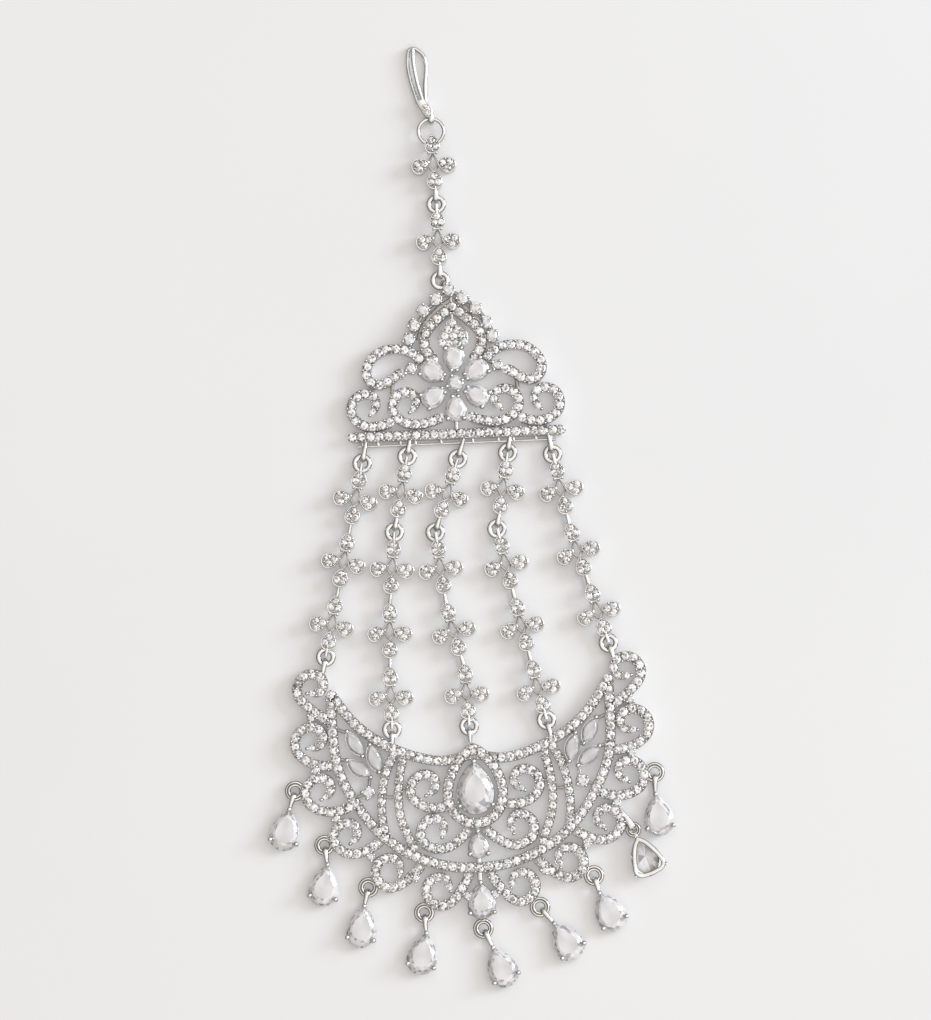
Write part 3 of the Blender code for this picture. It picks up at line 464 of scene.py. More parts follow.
def sweep(shape, path, profile, closed=False, widths=None):
    """A profile of (across, height, shade) along a flat path; widths scales it point by point."""
    rings = []
    for i, (knot, before, after) in enumerate(neighbours([Vector(p) for p in path], closed)):
        first = (knot - before).normalized() if before is not knot else (after - knot).normalized()
        second = (after - knot).normalized() if after is not knot else first
        along = (first + second).normalized()
        stretch = (widths[i] if widths else 1) / max(along.dot(second), LEAST_MITRE)
        ax = along.x * stretch
        ay = along.y * stretch
        rings.append([(knot.x - ay * u, knot.y + ax * u, z) for u, z, _ in profile])
    lofted(shape, rings, closed, [shade for _, _, shade in profile])

def section(wall):
    """Closed profile of a wall and its mirror image; a point's shade is that of the face after it."""
    back = [(-u, z, wall[i - 1][2] if i else 1.0) for i, (u, z, _) in enumerate(wall)]
    return wall + back[::-1]


def row_profile(width, top):
    """Section of a set row: two rounded walls with a floor between them, the floor painted darker as shade
    and a painted dark line where each wall turns to its edge.
    """
    half = width / 2
    return section([
        (half - 0.04, 0, 1.0), (half, 0.08, 1.0), (half, top - 0.15, PAINTED_EDGE_SHADE),
        (half - 0.05, top - 0.03, 1.0), (half - 0.07, top, 1.0), (half - RIM + 0.03, top - 0.01, 0.9),
        (half - RIM, top - 0.07, PAINTED_FLOOR_SHADE), (half - RIM - 0.04, top - FLOOR_DROP, PAINTED_FLOOR_SHADE),
    ])

def groove_profile(width, depth):
    """Section of a flat ring with a groove round it, to depth above and below the links' middle; the groove
    is painted dark as shade, with a painted dark line at each outer edge.
    """
    half = width / 2
    bottom = LINK_Z - depth
    top = LINK_Z + depth
    return section([
        (half - 0.12, bottom, 1.0), (half, bottom + 0.12, 1.0), (half, top - 0.16, PAINTED_EDGE_SHADE),
        (half - 0.11, top - 0.03, 1.0), (half - 0.16, top, 1.0), (0.13, top, PAINTED_GROOVE_SHADE),
        (0.07, top - 0.18, PAINTED_GROOVE_SHADE),
    ])

def bar(shape, path, width, bottom, top, bevel=0.12, shade=1.0, closed=False):
    """Flat-topped bar with bevelled edges along a path; a painted dark line runs where each wall turns to its
    top, and a shade below one paints the top darker as shade.
    """
    half = width / 2
    profile = section([
        (half - bevel, bottom, 1.0), (half, bottom + bevel, 1.0), (half, top - bevel, PAINTED_EDGE_SHADE),
        (half - bevel * 0.35, top - bevel * 0.35, 0.9 * shade), (half - bevel, top, shade),
    ])
    sweep(shape, path, profile, closed)

def wire(shape, path, radius, side, closed=False, widths=None):
    """Wire along a flat path, with two opposite sides painted darker as shade, seen from above as dark
    outlines.

    side is square to the path's plane, and widths scale the wire along it.
    """
    sides = 12
    quarter = math.pi / 2 * abs(side[2])
    around = [math.cos(math.tau * (k + 0.5) / sides - quarter) for k in range(sides)]
    around = [PAINTED_WIRE_OUTLINE if abs(c) > 0.9 else 1.0 for c in around]
    side = Vector(side)
    rings = []
    for i, (knot, before, after) in enumerate(neighbours([Vector(p) for p in path], closed)):
        up = side.cross((after - before).normalized())
        ring = []
        for turn in turns(sides):
            across = math.cos(turn) * (widths[i] if widths else 1)
            ring.append(tuple(knot + radius * (side * across + up * math.sin(turn))))
        rings.append(ring)
    lofted(shape, rings, closed, around)

def hairpin(shape, start, middle, radius, thick, z, matrix=None, strap=STRAP):
    """Flattened strap from start round a half turn about middle and back, in the YZ plane."""
    outward = math.copysign(1, middle - start)
    steps = 12
    path = [(0, start, z + radius * 0.8)]
    for i in range(steps + 1):
        angle = math.pi * i / steps
        path.append((0, middle + outward * radius * math.sin(angle), z + radius * math.cos(angle)))
    path.append((0, start, z - radius * 0.8))
    pin = Shape()
    wire(pin, path, thick, (1, 0, 0), widths=[1.0] + [strap] * (steps + 1) + [1.0])
    shape.join(pin, matrix)

def ball(shape, x, y, z, radius, rings=6, sides=10):
    points = [(x, y, z + radius)]
    for i in range(1, rings):
        tilt = math.pi * i / rings
        reach = radius * math.sin(tilt)
        level = z + radius * math.cos(tilt)
        for k in range(sides):
            turn = math.tau * (k + 0.5 * (i % 2)) / sides
            points.append((x + reach * math.cos(turn), y + reach * math.sin(turn), level))
    points.append((x, y, z - radius))
    last = len(points) - 1
    faces = []
    shades = []
    for k in range(sides):
        m = (k + 1) % sides
        faces.append([0, 1 + k, 1 + m])
        for i in range(rings - 2):
            a = 1 + i * sides
            faces.append([a + k, a + sides + k, a + sides + m, a + m])
        faces.append([last, last - sides + m, last - sides + k])
        # painted shade: below its top share a ball is painted darker
        shades += [1.0 if (i + 0.5) / rings < BALL_TOP else PAINTED_WALL_SHADE for i in range(rings)]
    shape.add(points, faces, shades)


def prong(shape, x, y, bottom, top, radius):
    """Round post with a polished ball on its end."""
    post = circle(radius * 0.62, 10, x, y)
    lofted(shape, [[(px, py, z) for px, py in post] for z in (bottom, top)])
    ball(shape, x, y, top, radius, 8, 14)


def cup(shape, outline, bottom, top, wall=0.15, floor_drop=0.4):
    """Walled tray over a flat outline, with a rounded rim; its floor is painted darker as shade, with a
    painted dark line below the rim.
    """
    cx = sum(x for x, _ in outline) / len(outline)
    cy = sum(y for _, y in outline) / len(outline)
    reach = max(math.hypot(x - cx, y - cy) for x, y in outline) * 0.85
    rings = []
    shades = []
    for inset, z, shade in (
        (0.06, bottom, 1.0), (0, bottom + 0.1, 1.0), (0, top - 0.13, PAINTED_EDGE_SHADE),
        (0.03, top - 0.02, 1.0), (0.06, top, 1.0), (wall - 0.03, top - 0.02, 0.9),
        (wall, top - 0.08, PAINTED_FLOOR_SHADE), (wall + 0.02, top - floor_drop, PAINTED_FLOOR_SHADE),
    ):
        share = 1 - inset / reach
        rings.append([(cx + (x - cx) * share, cy + (y - cy) * share, z) for x, y in outline])
        shades.append(shade)
    lofted(shape, rings, False, None, shades)


def facet_reflection():
    """Painted reflection of one small facet: mostly white, some grey, a few dark."""
    pick = rng.random()
    darkest, brightest = next(reflections for share, *reflections in FACET_REFLECTIONS if pick < share)
    return rng.uniform(darkest, brightest)

def small_stone(shape, x, y, z, radius):
    """Round stone with a table, eight crown facets in halves and a pavilion, each facet with a painted
    reflection; z is its girdle.
    """
    turn = rng.uniform(0, 360)
    lean = [Matrix.Rotation(math.radians(rng.uniform(-TILT, TILT)), 4, axis) for axis in "XY"]
    rise = radius * SMALL_RISE
    rim = circle(radius, 8)
    table = placed(circle(radius * SMALL_TABLE, 8), 0, 0, 22.5)
    points = [(px, py, 0) for px, py in rim] + [(px, py, rise) for px, py in table]
    points += [(0, 0, -radius * SMALL_DEPTH), (0, 0, rise)]
    faces = []
    shades = []
    for i in range(8):
        j = (i + 1) % 8
        faces += [[i, j, 8 + i], [j, 8 + j, 8 + i], [j, i, 16], [8 + i, 8 + j, 17]]
        shades += [facet_reflection(), facet_reflection(), 0.8, rng.choice(TABLE_REFLECTIONS)]
    shape.add(points, faces, shades, at(x, y, turn, z) @ (lean[0] @ lean[1]))

def brilliant(shape, outline, girdle, table, culet, share, matrix=None, seed=0, calm=False):
    """Cut stone over an outline: a table, three bands of small crown facets and a pavilion.

    The facets of one band stand between those of the next. Each facet carries a painted reflection, and the
    table a painted reflection that is lighter towards two sides; a calm stone's painted reflections are an
    even grey.
    """
    count = len(outline)
    half = count // 2
    pick = random.Random(seed)
    cx = sum(x for x, _ in outline) / count
    cy = sum(y for _, y in outline) / count
    reflections = CALM_REFLECTIONS if calm else GEM_REFLECTIONS
    table_reflection = CALM_TABLE_REFLECTION if calm else GEM_TABLE_REFLECTION

    def ring(chosen, amount, z, uneven=0.0):
        rough = [pick.uniform(-uneven, uneven) for _ in chosen]
        spots = [outline[k] for k in chosen]
        return [(cx + (x - cx) * amount, cy + (y - cy) * amount, z + r) for (x, y), r in zip(spots, rough)]

    evens = range(0, count, 2)
    odds = range(1, count, 2)
    rise = table - girdle - GIRDLE
    gap = 1 - share
    points = ring(range(count), 1, girdle) + ring(range(count), 1, girdle + GIRDLE)
    points += ring(odds, share + gap * 0.7, girdle + GIRDLE + rise * 0.45, 0.05)
    points += ring(evens, share + gap * 0.36, girdle + GIRDLE + rise * 0.8, 0.05)
    points += ring(odds, share, table) + ring(evens, 0.5, girdle + (culet - girdle) * 0.62, 0.1)
    points += [(cx, cy, culet), (cx, cy, table)]
    outer = 2 * count
    inner = outer + half
    flat = inner + half
    under = flat + half
    tip = under + half
    faces = []
    shades = []
    for k in range(half):
        n = (k + 1) % half
        a = count + 2 * k
        b = a + 1
        c = count + (2 * k + 2) % count
        faces += [[a, b, outer + k], [b, c, outer + k], [c, outer + n, outer + k]]
        faces += [[outer + k, outer + n, inner + n], [outer + n, inner + (n + 1) % half, inner + n]]
        faces += [[inner + k, inner + n, flat + k], [inner + n, flat + n, flat + k]]
        faces += [[2 * k, (2 * k + 2) % count, under + n, under + k], [under + k, under + n, tip]]
        shades += [pick.choice(reflections) for _ in range(9)]
        faces += [[flat + k, flat + n, tip + 1], [2 * k, 2 * k + 1, (2 * k + 2) % count]]
        # painted reflection on the table, lighter towards two sides like a window
        reflected = [table_reflection + TABLE_REFLECTION_SWING * math.cos(2 * math.tau * i / half + seed) for i in (k, n)]
        shades += [[*reflected, table_reflection], 0.9]
    for k in range(count):
        n = (k + 1) % count
        faces.append([k, n, count + n, count + k])
        shades.append(0.8)
    shape.add(points, faces, shades, matrix)


# Rows of set stones


def taper(share):
    """Width of a scroll along its length: full, then narrowing into its eye."""
    return 1 - EYE_NARROWING * min(max((share - EYE_START) / (1 - EYE_START), 0.0), 1.0)


class Setting:
    """Metal and stones of one frame, where rows that meet don't set two stones on one place."""

    def __init__(self):
        self.metal = Shape()
        self.stones = Shape()
        self.taken = []
        self.lines = []

    def free(self, x, y, gap):
        return all((x - a) ** 2 + (y - b) ** 2 > gap * gap for a, b in self.taken)

    def stone(self, x, y, z, radius):
        if self.free(x, y, radius * 1.6):
            small_stone(self.stones, x, y, z, radius)
            self.taken.append((x, y))

    def fill(self, z):
        """Smaller stones, then grains of metal, where rows meet and neither has set a stone."""
        for radius, room in FILL_STONES:
            for x, y in self.lines:
                if self.free(x, y, room):
                    small_stone(self.stones, x, y, z, radius)
                    self.taken.append((x, y))
        radius, room = GRAIN
        for x, y in self.lines:
            if self.free(x, y, room):
                ball(self.metal, x, y, z, radius)
                self.taken.append((x, y))

    def row(self, path, width, top, closed=False, eye=False):
        """Row of stones with shared beads; a row with an eye narrows towards its last point."""
        radius = min(width / 2 - RIM + 0.07, PITCH / 2 - 0.005)
        line = spaced(path, STEP, closed)
        narrowing = [taper(i / (len(line) - 1)) if eye else 1 for i in range(len(line))]
        sweep(self.metal, line, row_profile(width, top), closed, narrowing)
        self.lines += line if closed else line[1:-1]
        spots = spaced(path, PITCH, closed)
        last = len(spots)
        for i, (x, y) in enumerate(spots):
            share = taper(i / (last - 1)) if eye else 1
            self.stone(x, y, top - SEAT_DEPTH, radius * min(share + 0.08, 1))
            if not closed and i == last - 1:
                continue
            nx, ny = spots[(i + 1) % last]
            along = Vector((nx - x, ny - y)).normalized()
            for side in (-1, 1):
                reach = side * (width / 2 * share - 0.17)
                bx = (x + nx) / 2 - along.y * reach
                by = (y + ny) / 2 + along.x * reach
                if self.free(bx, by, radius * share * 0.9):
                    ball(self.metal, bx, by, top + 0.02, BEAD)
        if eye:
            x, y = spots[-1]
            ax, ay = line[-3]
            away = Vector((x - ax, y - ay)).normalized() * 0.75
            ball(self.metal, x + away.x, y + away.y, top - 0.15, 0.3, 6, 12)

    def filled(self, outline, bottom, top, spots, radius, wall=0.15):
        cup(self.metal, outline, bottom, top, wall)
        for x, y in spots:
            self.stone(x, y, top - SEAT_DEPTH, radius)
        for i, (ax, ay) in enumerate(spots):
            for bx, by in spots[i + 1:]:
                if math.hypot(ax - bx, ay - by) < radius * 2.6:
                    for side in (-0.62, 0.62):
                        mx = (ax + bx) / 2 - (by - ay) * side
                        my = (ay + by) / 2 + (bx - ax) * side
                        if self.free(mx, my, radius * 0.9) and inside((mx, my), outline):
                            ball(self.metal, mx, my, top - 0.02, 0.15, 6, 8)

    def prong_round(self, x, y, top, radius=0.86, prongs=4):
        """Round stone in a small cup, held by little balls on its edge."""
        cup(self.metal, circle(radius + 0.06, 20, x, y), 0, top, 0.16, 0.25)
        self.taken.append((x, y))
        outline = circle(radius, 16, x, y)
        brilliant(self.stones, outline, top - 0.12, top + 0.34, top - 0.7, 0.56, None, round(x * 7 + y))
        turn = rng.uniform(0, 90)
        for k in range(prongs):
            angle = math.radians(turn + 360 * k / prongs)
            ball(self.metal, x + radius * math.cos(angle), y + radius * math.sin(angle), top + 0.1, 0.27)

    def meshes(self, name, gem=None):
        """Mesh data of the metal and of the stones."""
        return self.metal.mesh(name + "_metal", METAL), self.stones.mesh(name + "_stones", gem or PAVE, 0)

# Materials


def material(name):
    made = bpy.data.materials.new(name)
    made.use_nodes = True
    tree = made.node_tree
    shader = tree.nodes["Principled BSDF"]
    return made, tree, shader


def noise(tree, scale, detail=3.0, rough=0.5, stretch=None):
    place = tree.nodes.new("ShaderNodeTexCoord")
    texture = tree.nodes.new("ShaderNodeTexNoise")
    texture.inputs["Scale"].default_value = scale
    texture.inputs["Detail"].default_value = detail
    texture.inputs["Roughness"].default_value = rough
    if stretch:
        turn = tree.nodes.new("ShaderNodeMapping")
        turn.inputs["Scale"].default_value = stretch
        tree.links.new(place.outputs["Object"], turn.inputs["Vector"])
        tree.links.new(turn.outputs["Vector"], texture.inputs["Vector"])
    else:
        tree.links.new(place.outputs["Object"], texture.inputs["Vector"])
    return texture


def ramp(tree, source, stops):
    made = tree.nodes.new("ShaderNodeValToRGB")
    for stop, colour in zip(made.color_ramp.elements, stops[:2]):
        stop.position, stop.color = colour[0], (*colour[1], 1)
    for place, colour in stops[2:]:
        made.color_ramp.elements.new(place).color = (*colour, 1)
    tree.links.new(source, made.inputs["Fac"])
    return made.outputs["Color"]


def bump(tree, source, shader, strength, distance):
    made = tree.nodes.new("ShaderNodeBump")
    made.inputs["Strength"].default_value = strength
    made.inputs["Distance"].default_value = distance
    tree.links.new(source, made.inputs["Height"])
    tree.links.new(made.outputs["Normal"], shader.inputs["Normal"])


# the painted shade of metal and the painted reflections of stones, as stored in the shade attribute
def shade(tree):
    made = tree.nodes.new("ShaderNodeVertexColor")
    made.layer_name = "shade"
    return made.outputs["Color"]


def product(tree, first, second, share=1.0):
    made = tree.nodes.new("ShaderNodeMix")
    made.data_type = "RGBA"
    made.blend_type = "MULTIPLY"
    made.inputs["Factor"].default_value = share
    tree.links.new(first, made.inputs["A"])
    tree.links.new(second, made.inputs["B"])
    return made.outputs["Result"]


def polished_metal():
    """Bright white plate: faint clouding, fine polishing marks, softly uneven gloss, and painted shade that
    darkens floors, walls, edges and undersides towards a warm dark grey.
    """
    made, tree, shader = material("polished_white_metal")
    shader.inputs["Metallic"].default_value = 1.0
    cloud = noise(tree, 420.0, 4.0)
    colour = ramp(tree, cloud.outputs["Fac"], [(0.3, (0.64, 0.64, 0.645)), (0.7, (0.85, 0.855, 0.865))])
    # painted shade: the shade attribute takes the colour down to warm dark grey
    level = ramp(tree, shade(tree), [(0.25, (0.22, 0.175, 0.135)), (1.0, (1.0, 1.0, 1.0))])
    tree.links.new(product(tree, colour, level), shader.inputs["Base Color"])
    marks = noise(tree, 1500.0, 3.0, 0.6, (1.0, 3.0, 1.0))
    gloss = ramp(tree, marks.outputs["Fac"], [(0.25, (0.07, 0.07, 0.07)), (0.8, (0.24, 0.24, 0.24))])
    tree.links.new(gloss, shader.inputs["Roughness"])
    bump(tree, marks.outputs["Fac"], shader, 0.25, 0.00004)
    return made


def set_stone(name, transmission, cell, depth, dark, light):
    """Clear stone: its facets carry painted reflections and finer painted glints of white, grey and lilac."""
    made, tree, shader = material(name)
    shader.inputs["Roughness"].default_value = 0.03
    shader.inputs["IOR"].default_value = 2.0
    shader.inputs["Transmission Weight"].default_value = transmission
    level = ramp(tree, shade(tree), [(0.3, dark), (1.0, light)])
    place = tree.nodes.new("ShaderNodeTexCoord")
    cells = tree.nodes.new("ShaderNodeTexVoronoi")
    cells.inputs["Scale"].default_value = 1 / (cell * MM)
    tree.links.new(place.outputs["Object"], cells.inputs["Vector"])
    # painted glints: cells of white, grey and lilac over the facets
    painted_glint = ramp(tree, cells.outputs["Color"], [
        (0.0, (0.42, 0.41, 0.43)), (0.22, (0.70, 0.69, 0.73)), (0.45, (1.0, 1.0, 1.0)),
        (0.86, (1.0, 0.985, 0.97)), (0.97, (0.90, 0.88, 1.0)),
    ])
    painted_glint.node.color_ramp.interpolation = "CONSTANT" if depth > 0.5 else "LINEAR"
    tree.links.new(product(tree, level, painted_glint, depth), shader.inputs["Base Color"])
    return made


def paper():
    """Matt white paper with a fine tooth and slow, faint clouds, lit a little from below."""
    made, tree, shader = material("paper")
    clouds = noise(tree, 9.0, 4.0)
    colour = ramp(tree, clouds.outputs["Fac"], [(0.2, (0.637, 0.634, 0.652)), (0.8, (0.677, 0.671, 0.683))])
    tree.links.new(colour, shader.inputs["Base Color"])
    shader.inputs["Emission Color"].default_value = (1.0, 1.0, 1.0, 1.0)
    shader.inputs["Emission Strength"].default_value = 0.17
    shader.inputs["Roughness"].default_value = 0.75
    shader.inputs["Specular IOR Level"].default_value = 0.25
    tooth = noise(tree, 1900.0, 5.0, 0.65)
    bump(tree, tooth.outputs["Fac"], shader, 0.12, 0.00006)
    return made


METAL = polished_metal()
# stone colours: painted reflections on facets and painted glints, between dark and light
PAVE = set_stone("pave_stone", 0.05, 0.3, 0.45, (0.12, 0.115, 0.11), (0.99, 0.985, 1.0))
GEM = set_stone("clear_gem", 0.22, 0.9, 0.1, (0.45, 0.44, 0.48), (0.99, 0.98, 1.0))


def piece(name, data, slot, x, y, turn, nodes):
    """One visible piece at a place of the tables, which replaces the given solids."""
    data = data.copy()
    data.transform(at((x + SHIFT.x) * MM, (y + SHIFT.y) * MM, turn))
    made = bpy.data.objects.new(name, data)
    bpy.context.scene.collection.objects.link(made)
    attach(made, "root")
    for node in nodes:
        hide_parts(node)

def dressed(name, data, x, y, turn, node):
    """The metal and the stones that replace one solid."""
    metal, stones = data
    piece(name + "_metal", metal, "polished_white_metal", x, y, turn, [node])
    piece(name + "_stones", stones, "clear_stone", x, y, turn, [node])

# Florets


PETAL_SPOTS = ((0, 0.62), (-0.55, -0.4), (0.55, -0.4))
PETAL_BEADS = ((0, 1.3), (0.72, 0.32), (-0.72, 0.32), (0, -1.12))
PETAL_STONE = 0.57
PETAL_WALL = 0.2
BRIDGE_HALF = 0.72  # half the length of the bar under a petal

def floret(top, bottom):
    """Floret about the middle of its span, for the kinds of link above and below."""
    half = FLORET_SPAN / 2
    made = Setting()
    droop = 90 - SIDE_PETAL_DROOP
    leaf = (LEAF_BOTTOM, LEAF_TOP)
    deep = (CUP_BOTTOM, CUP_TOP)
    petals = [
        (0, half, 0, *leaf), (SIDE_PETAL_X, SIDE_PETAL_Y, droop, *deep),
        (-SIDE_PETAL_X, SIDE_PETAL_Y, -droop, *deep), (0, -half, 0, *(leaf if bottom == "tucked" else deep)),
    ]
    for x, y, turn, low_z, high_z in petals:
        outline = placed(pear(PETAL_LENGTH + 0.1, PETAL_WIDTH, 32), x, y, turn)
        made.filled(outline, low_z, high_z, placed(PETAL_SPOTS, x, y, turn), PETAL_STONE, PETAL_WALL)
        for bx, by in placed(PETAL_BEADS, x, y, turn):
            ball(made.metal, bx, by, high_z - 0.04, 0.16, 6, 8)
    kite = [(0, WEB_TOP), WEB_SIDE, (0, WEB_FOOT), (-WEB_SIDE[0], WEB_SIDE[1])]
    # the web's top painted darker (0.6), as shade in the floret's middle
    bar(made.metal, kite, 0.4, CUP_BOTTOM, CUP_TOP - 1.9, 0.06, 0.6, closed=True)
    for x in (-0.62, 0.62):
        ball(made.metal, x, 1.45, 2.05, 0.27)
    if top == "bar":
        y = half + BAR_TO_PETAL
        foot = LEAF_BOTTOM + 0.1
        path = [(-BRIDGE_HALF, y, foot), (-BRIDGE_HALF, y, SLIM_LOOP_Z)]
        path += [(BRIDGE_HALF, y, SLIM_LOOP_Z), (BRIDGE_HALF, y, foot)]
        wire(made.metal, path, 0.2, (0, 1, 0))
    else:
        reach = RING_TO_PETAL - RING_RADIUS if top == "ring" else HOOK_TO_PETAL - HOOK_RING_RADIUS
        staple(made.metal, half + reach, 1, top == "ring")
    edge = -half - PETAL_LENGTH / 2 + 0.5
    if bottom == "bar":
        hairpin(made.metal, edge, -half - PIVOT_BELOW, SLIM_LOOP_RADIUS, SLIM_LOOP_WIRE, SLIM_LOOP_Z)
    elif bottom == "ring":
        hairpin(made.metal, edge, -half - RING_BELOW + RING_RADIUS, LOOP_RADIUS, LOOP_WIRE, LINK_Z)
    else:
        staple(made.metal, -half - RING_TO_PETAL + RING_RADIUS, -1, True)
    return made.meshes(f"floret_{top}_{bottom}")

def staple(shape, y, outward, tongue):
    """Loop under a petal that closes round a jump ring's wire passing at y."""
    path = []
    for i in range(17):
        angle = math.pi * (1 + i / 16)
        path.append((0, y - outward * LOOP_RADIUS * math.cos(angle), LINK_Z + LOOP_RADIUS * math.sin(angle)))
    first = [(0, path[0][1], LEAF_BOTTOM + 0.2)]
    last = [(0, path[-1][1], LEAF_BOTTOM + 0.2)]
    wire(shape, first + path + last, LOOP_WIRE, (1, 0, 0))
    if tongue:
        ends = [(0, y - 0.6 * outward), (0, y + (LOOP_RADIUS + LOOP_WIRE) * outward)]
        bar(shape, ends, 2 * LOOP_WIRE, LEAF_BOTTOM, LEAF_TOP)


florets = {}


def hang_string(tag, start, rows, last):
    """Lays one string down from its first ring, and gives the middle of its last ring."""
    spot = Vector(start)
    rings = 1
    for i, (link, heading) in enumerate(rows):
        along = heading_vector(heading)
        spot = spot + along * TO_PETAL[link]
        below = rows[i + 1][0] if i + 1 < len(rows) else last
        middle = spot + along * FLORET_SPAN / 2
        if (link, below) not in florets:
            florets[link, below] = floret(link, below)
        node = f"floret_{tag}_{i + 1}"
        dressed(node, florets[link, below], *middle, heading, node)
        spot = spot + along * (FLORET_SPAN + FROM_PETAL[below])
        if below != "bar":
            rings += 1
            lay_ring(f"ring_{tag}_{rings}", spot)
    return spot


def jump_ring(radius, thick, slit):
    """Flattened ring with a narrow slit where its ends meet."""
    made = Shape()
    count = 40
    path = []
    for i in range(count + 1):
        angle = math.radians(slit / 2 + (360 - slit) * i / count)
        path.append((radius * math.cos(angle), radius * math.sin(angle)))
    half = thick * 0.85
    bar(made, path, 1.9 * thick, LINK_Z - half, LINK_Z + half, thick * 0.55)
    return made


ring_data = jump_ring(RING_RADIUS, RING_WIRE, 3.5).mesh("jump_ring", METAL)


def lay_ring(node, spot):
    piece(node + "_metal", ring_data, "polished_white_metal", *spot, rng.uniform(-60, 60), [node])


# Hook


def hook():
    """Bent wires of the clip, on a base with two small stones and a loop for the large ring."""
    x, y = HOOK_RING_AT
    made = Setting()
    back = [(x - 3.7, 75.2), (x - 3.8, 73.2), (x - 3.25, 70.4), (x - 2.1, 66.9)]
    bow = [(x - 3.55, 75.6), (x - 3.1, 75.85), (x - 2.6, 75.85), (x - 2.2, 75.6)]
    catch = [(x - 1.75, 75.3), (x - 1.15, 74.6), (x - 0.85, 73.3), (x - 0.85, 71.8)]
    catch += [(x - 1.0, 69.7), (x - 0.85, 67.2)]
    front = [(x - 2.95, 75.6), (x - 2.9, 73.6), (x - 2.3, 70.4), (x - 1.5, 67.8), (x - 0.95, 66.5)]
    for path, z in ((back[::-1] + bow + catch, 0.5), (front, 1.3)):
        wire(made.metal, [(px, py, z) for px, py in smooth(path, 5)], HOOK_WIRE, (0, 0, 1))
    ball(made.metal, *front[0], 1.3, 0.34, 6, 12)
    base = smooth([(x - 1.75, 67.2), (x - 0.75, 65.6), (x - 0.35, 64.9)], 4)
    bar(made.metal, base, 1.5, 0.1, 2.1)
    for px, py in ((x - 0.95, 66.05), (x - 0.42, 65.05)):
        cup(made.metal, circle(0.62, 18, px, py), 1.6, 2.25, 0.14, 0.2)
        small_stone(made.stones, px, py, 2.12, 0.5)
    top = y + HOOK_RING_RADIUS
    radius = 0.78
    thick = 0.28
    round_loop = [(x, top + radius * math.cos(a), LINK_Z + radius * math.sin(a)) for a in turns(24)]
    wire(made.metal, round_loop, thick, (1, 0, 0), closed=True)
    hairpin(made.metal, top + 1.4, top, radius, thick, LINK_Z, at(x, 0))
    dressed("hook", made.meshes("hook"), 0, 0, 0, "hook")
    ring = jump_ring(HOOK_RING_RADIUS, HOOK_RING_WIRE * 0.85, 2.0).mesh("hook_ring", METAL)
    piece("hook_ring_metal", ring, "polished_white_metal", x, y, 200, ["hook_ring"])

# Crown


def own(point, plate):
    """A point of the tables in the crown's or the crescent's own frame."""
    x, y, turn = plate
    return placed([(point[0] - x, point[1] - y)], 0, 0, -turn)[0]

def carrier(shape, plate, ring, heading, length):
    """Fixed loop of a plate round a ring's wire, on the side of the given heading."""
    matrix = at(*own(ring, plate), heading - plate[2])
    hairpin(shape, -length - RING_RADIUS, -RING_RADIUS, LOOP_RADIUS, LOOP_WIRE, LINK_Z, matrix)

def both(points):
    return points, mirror(points)

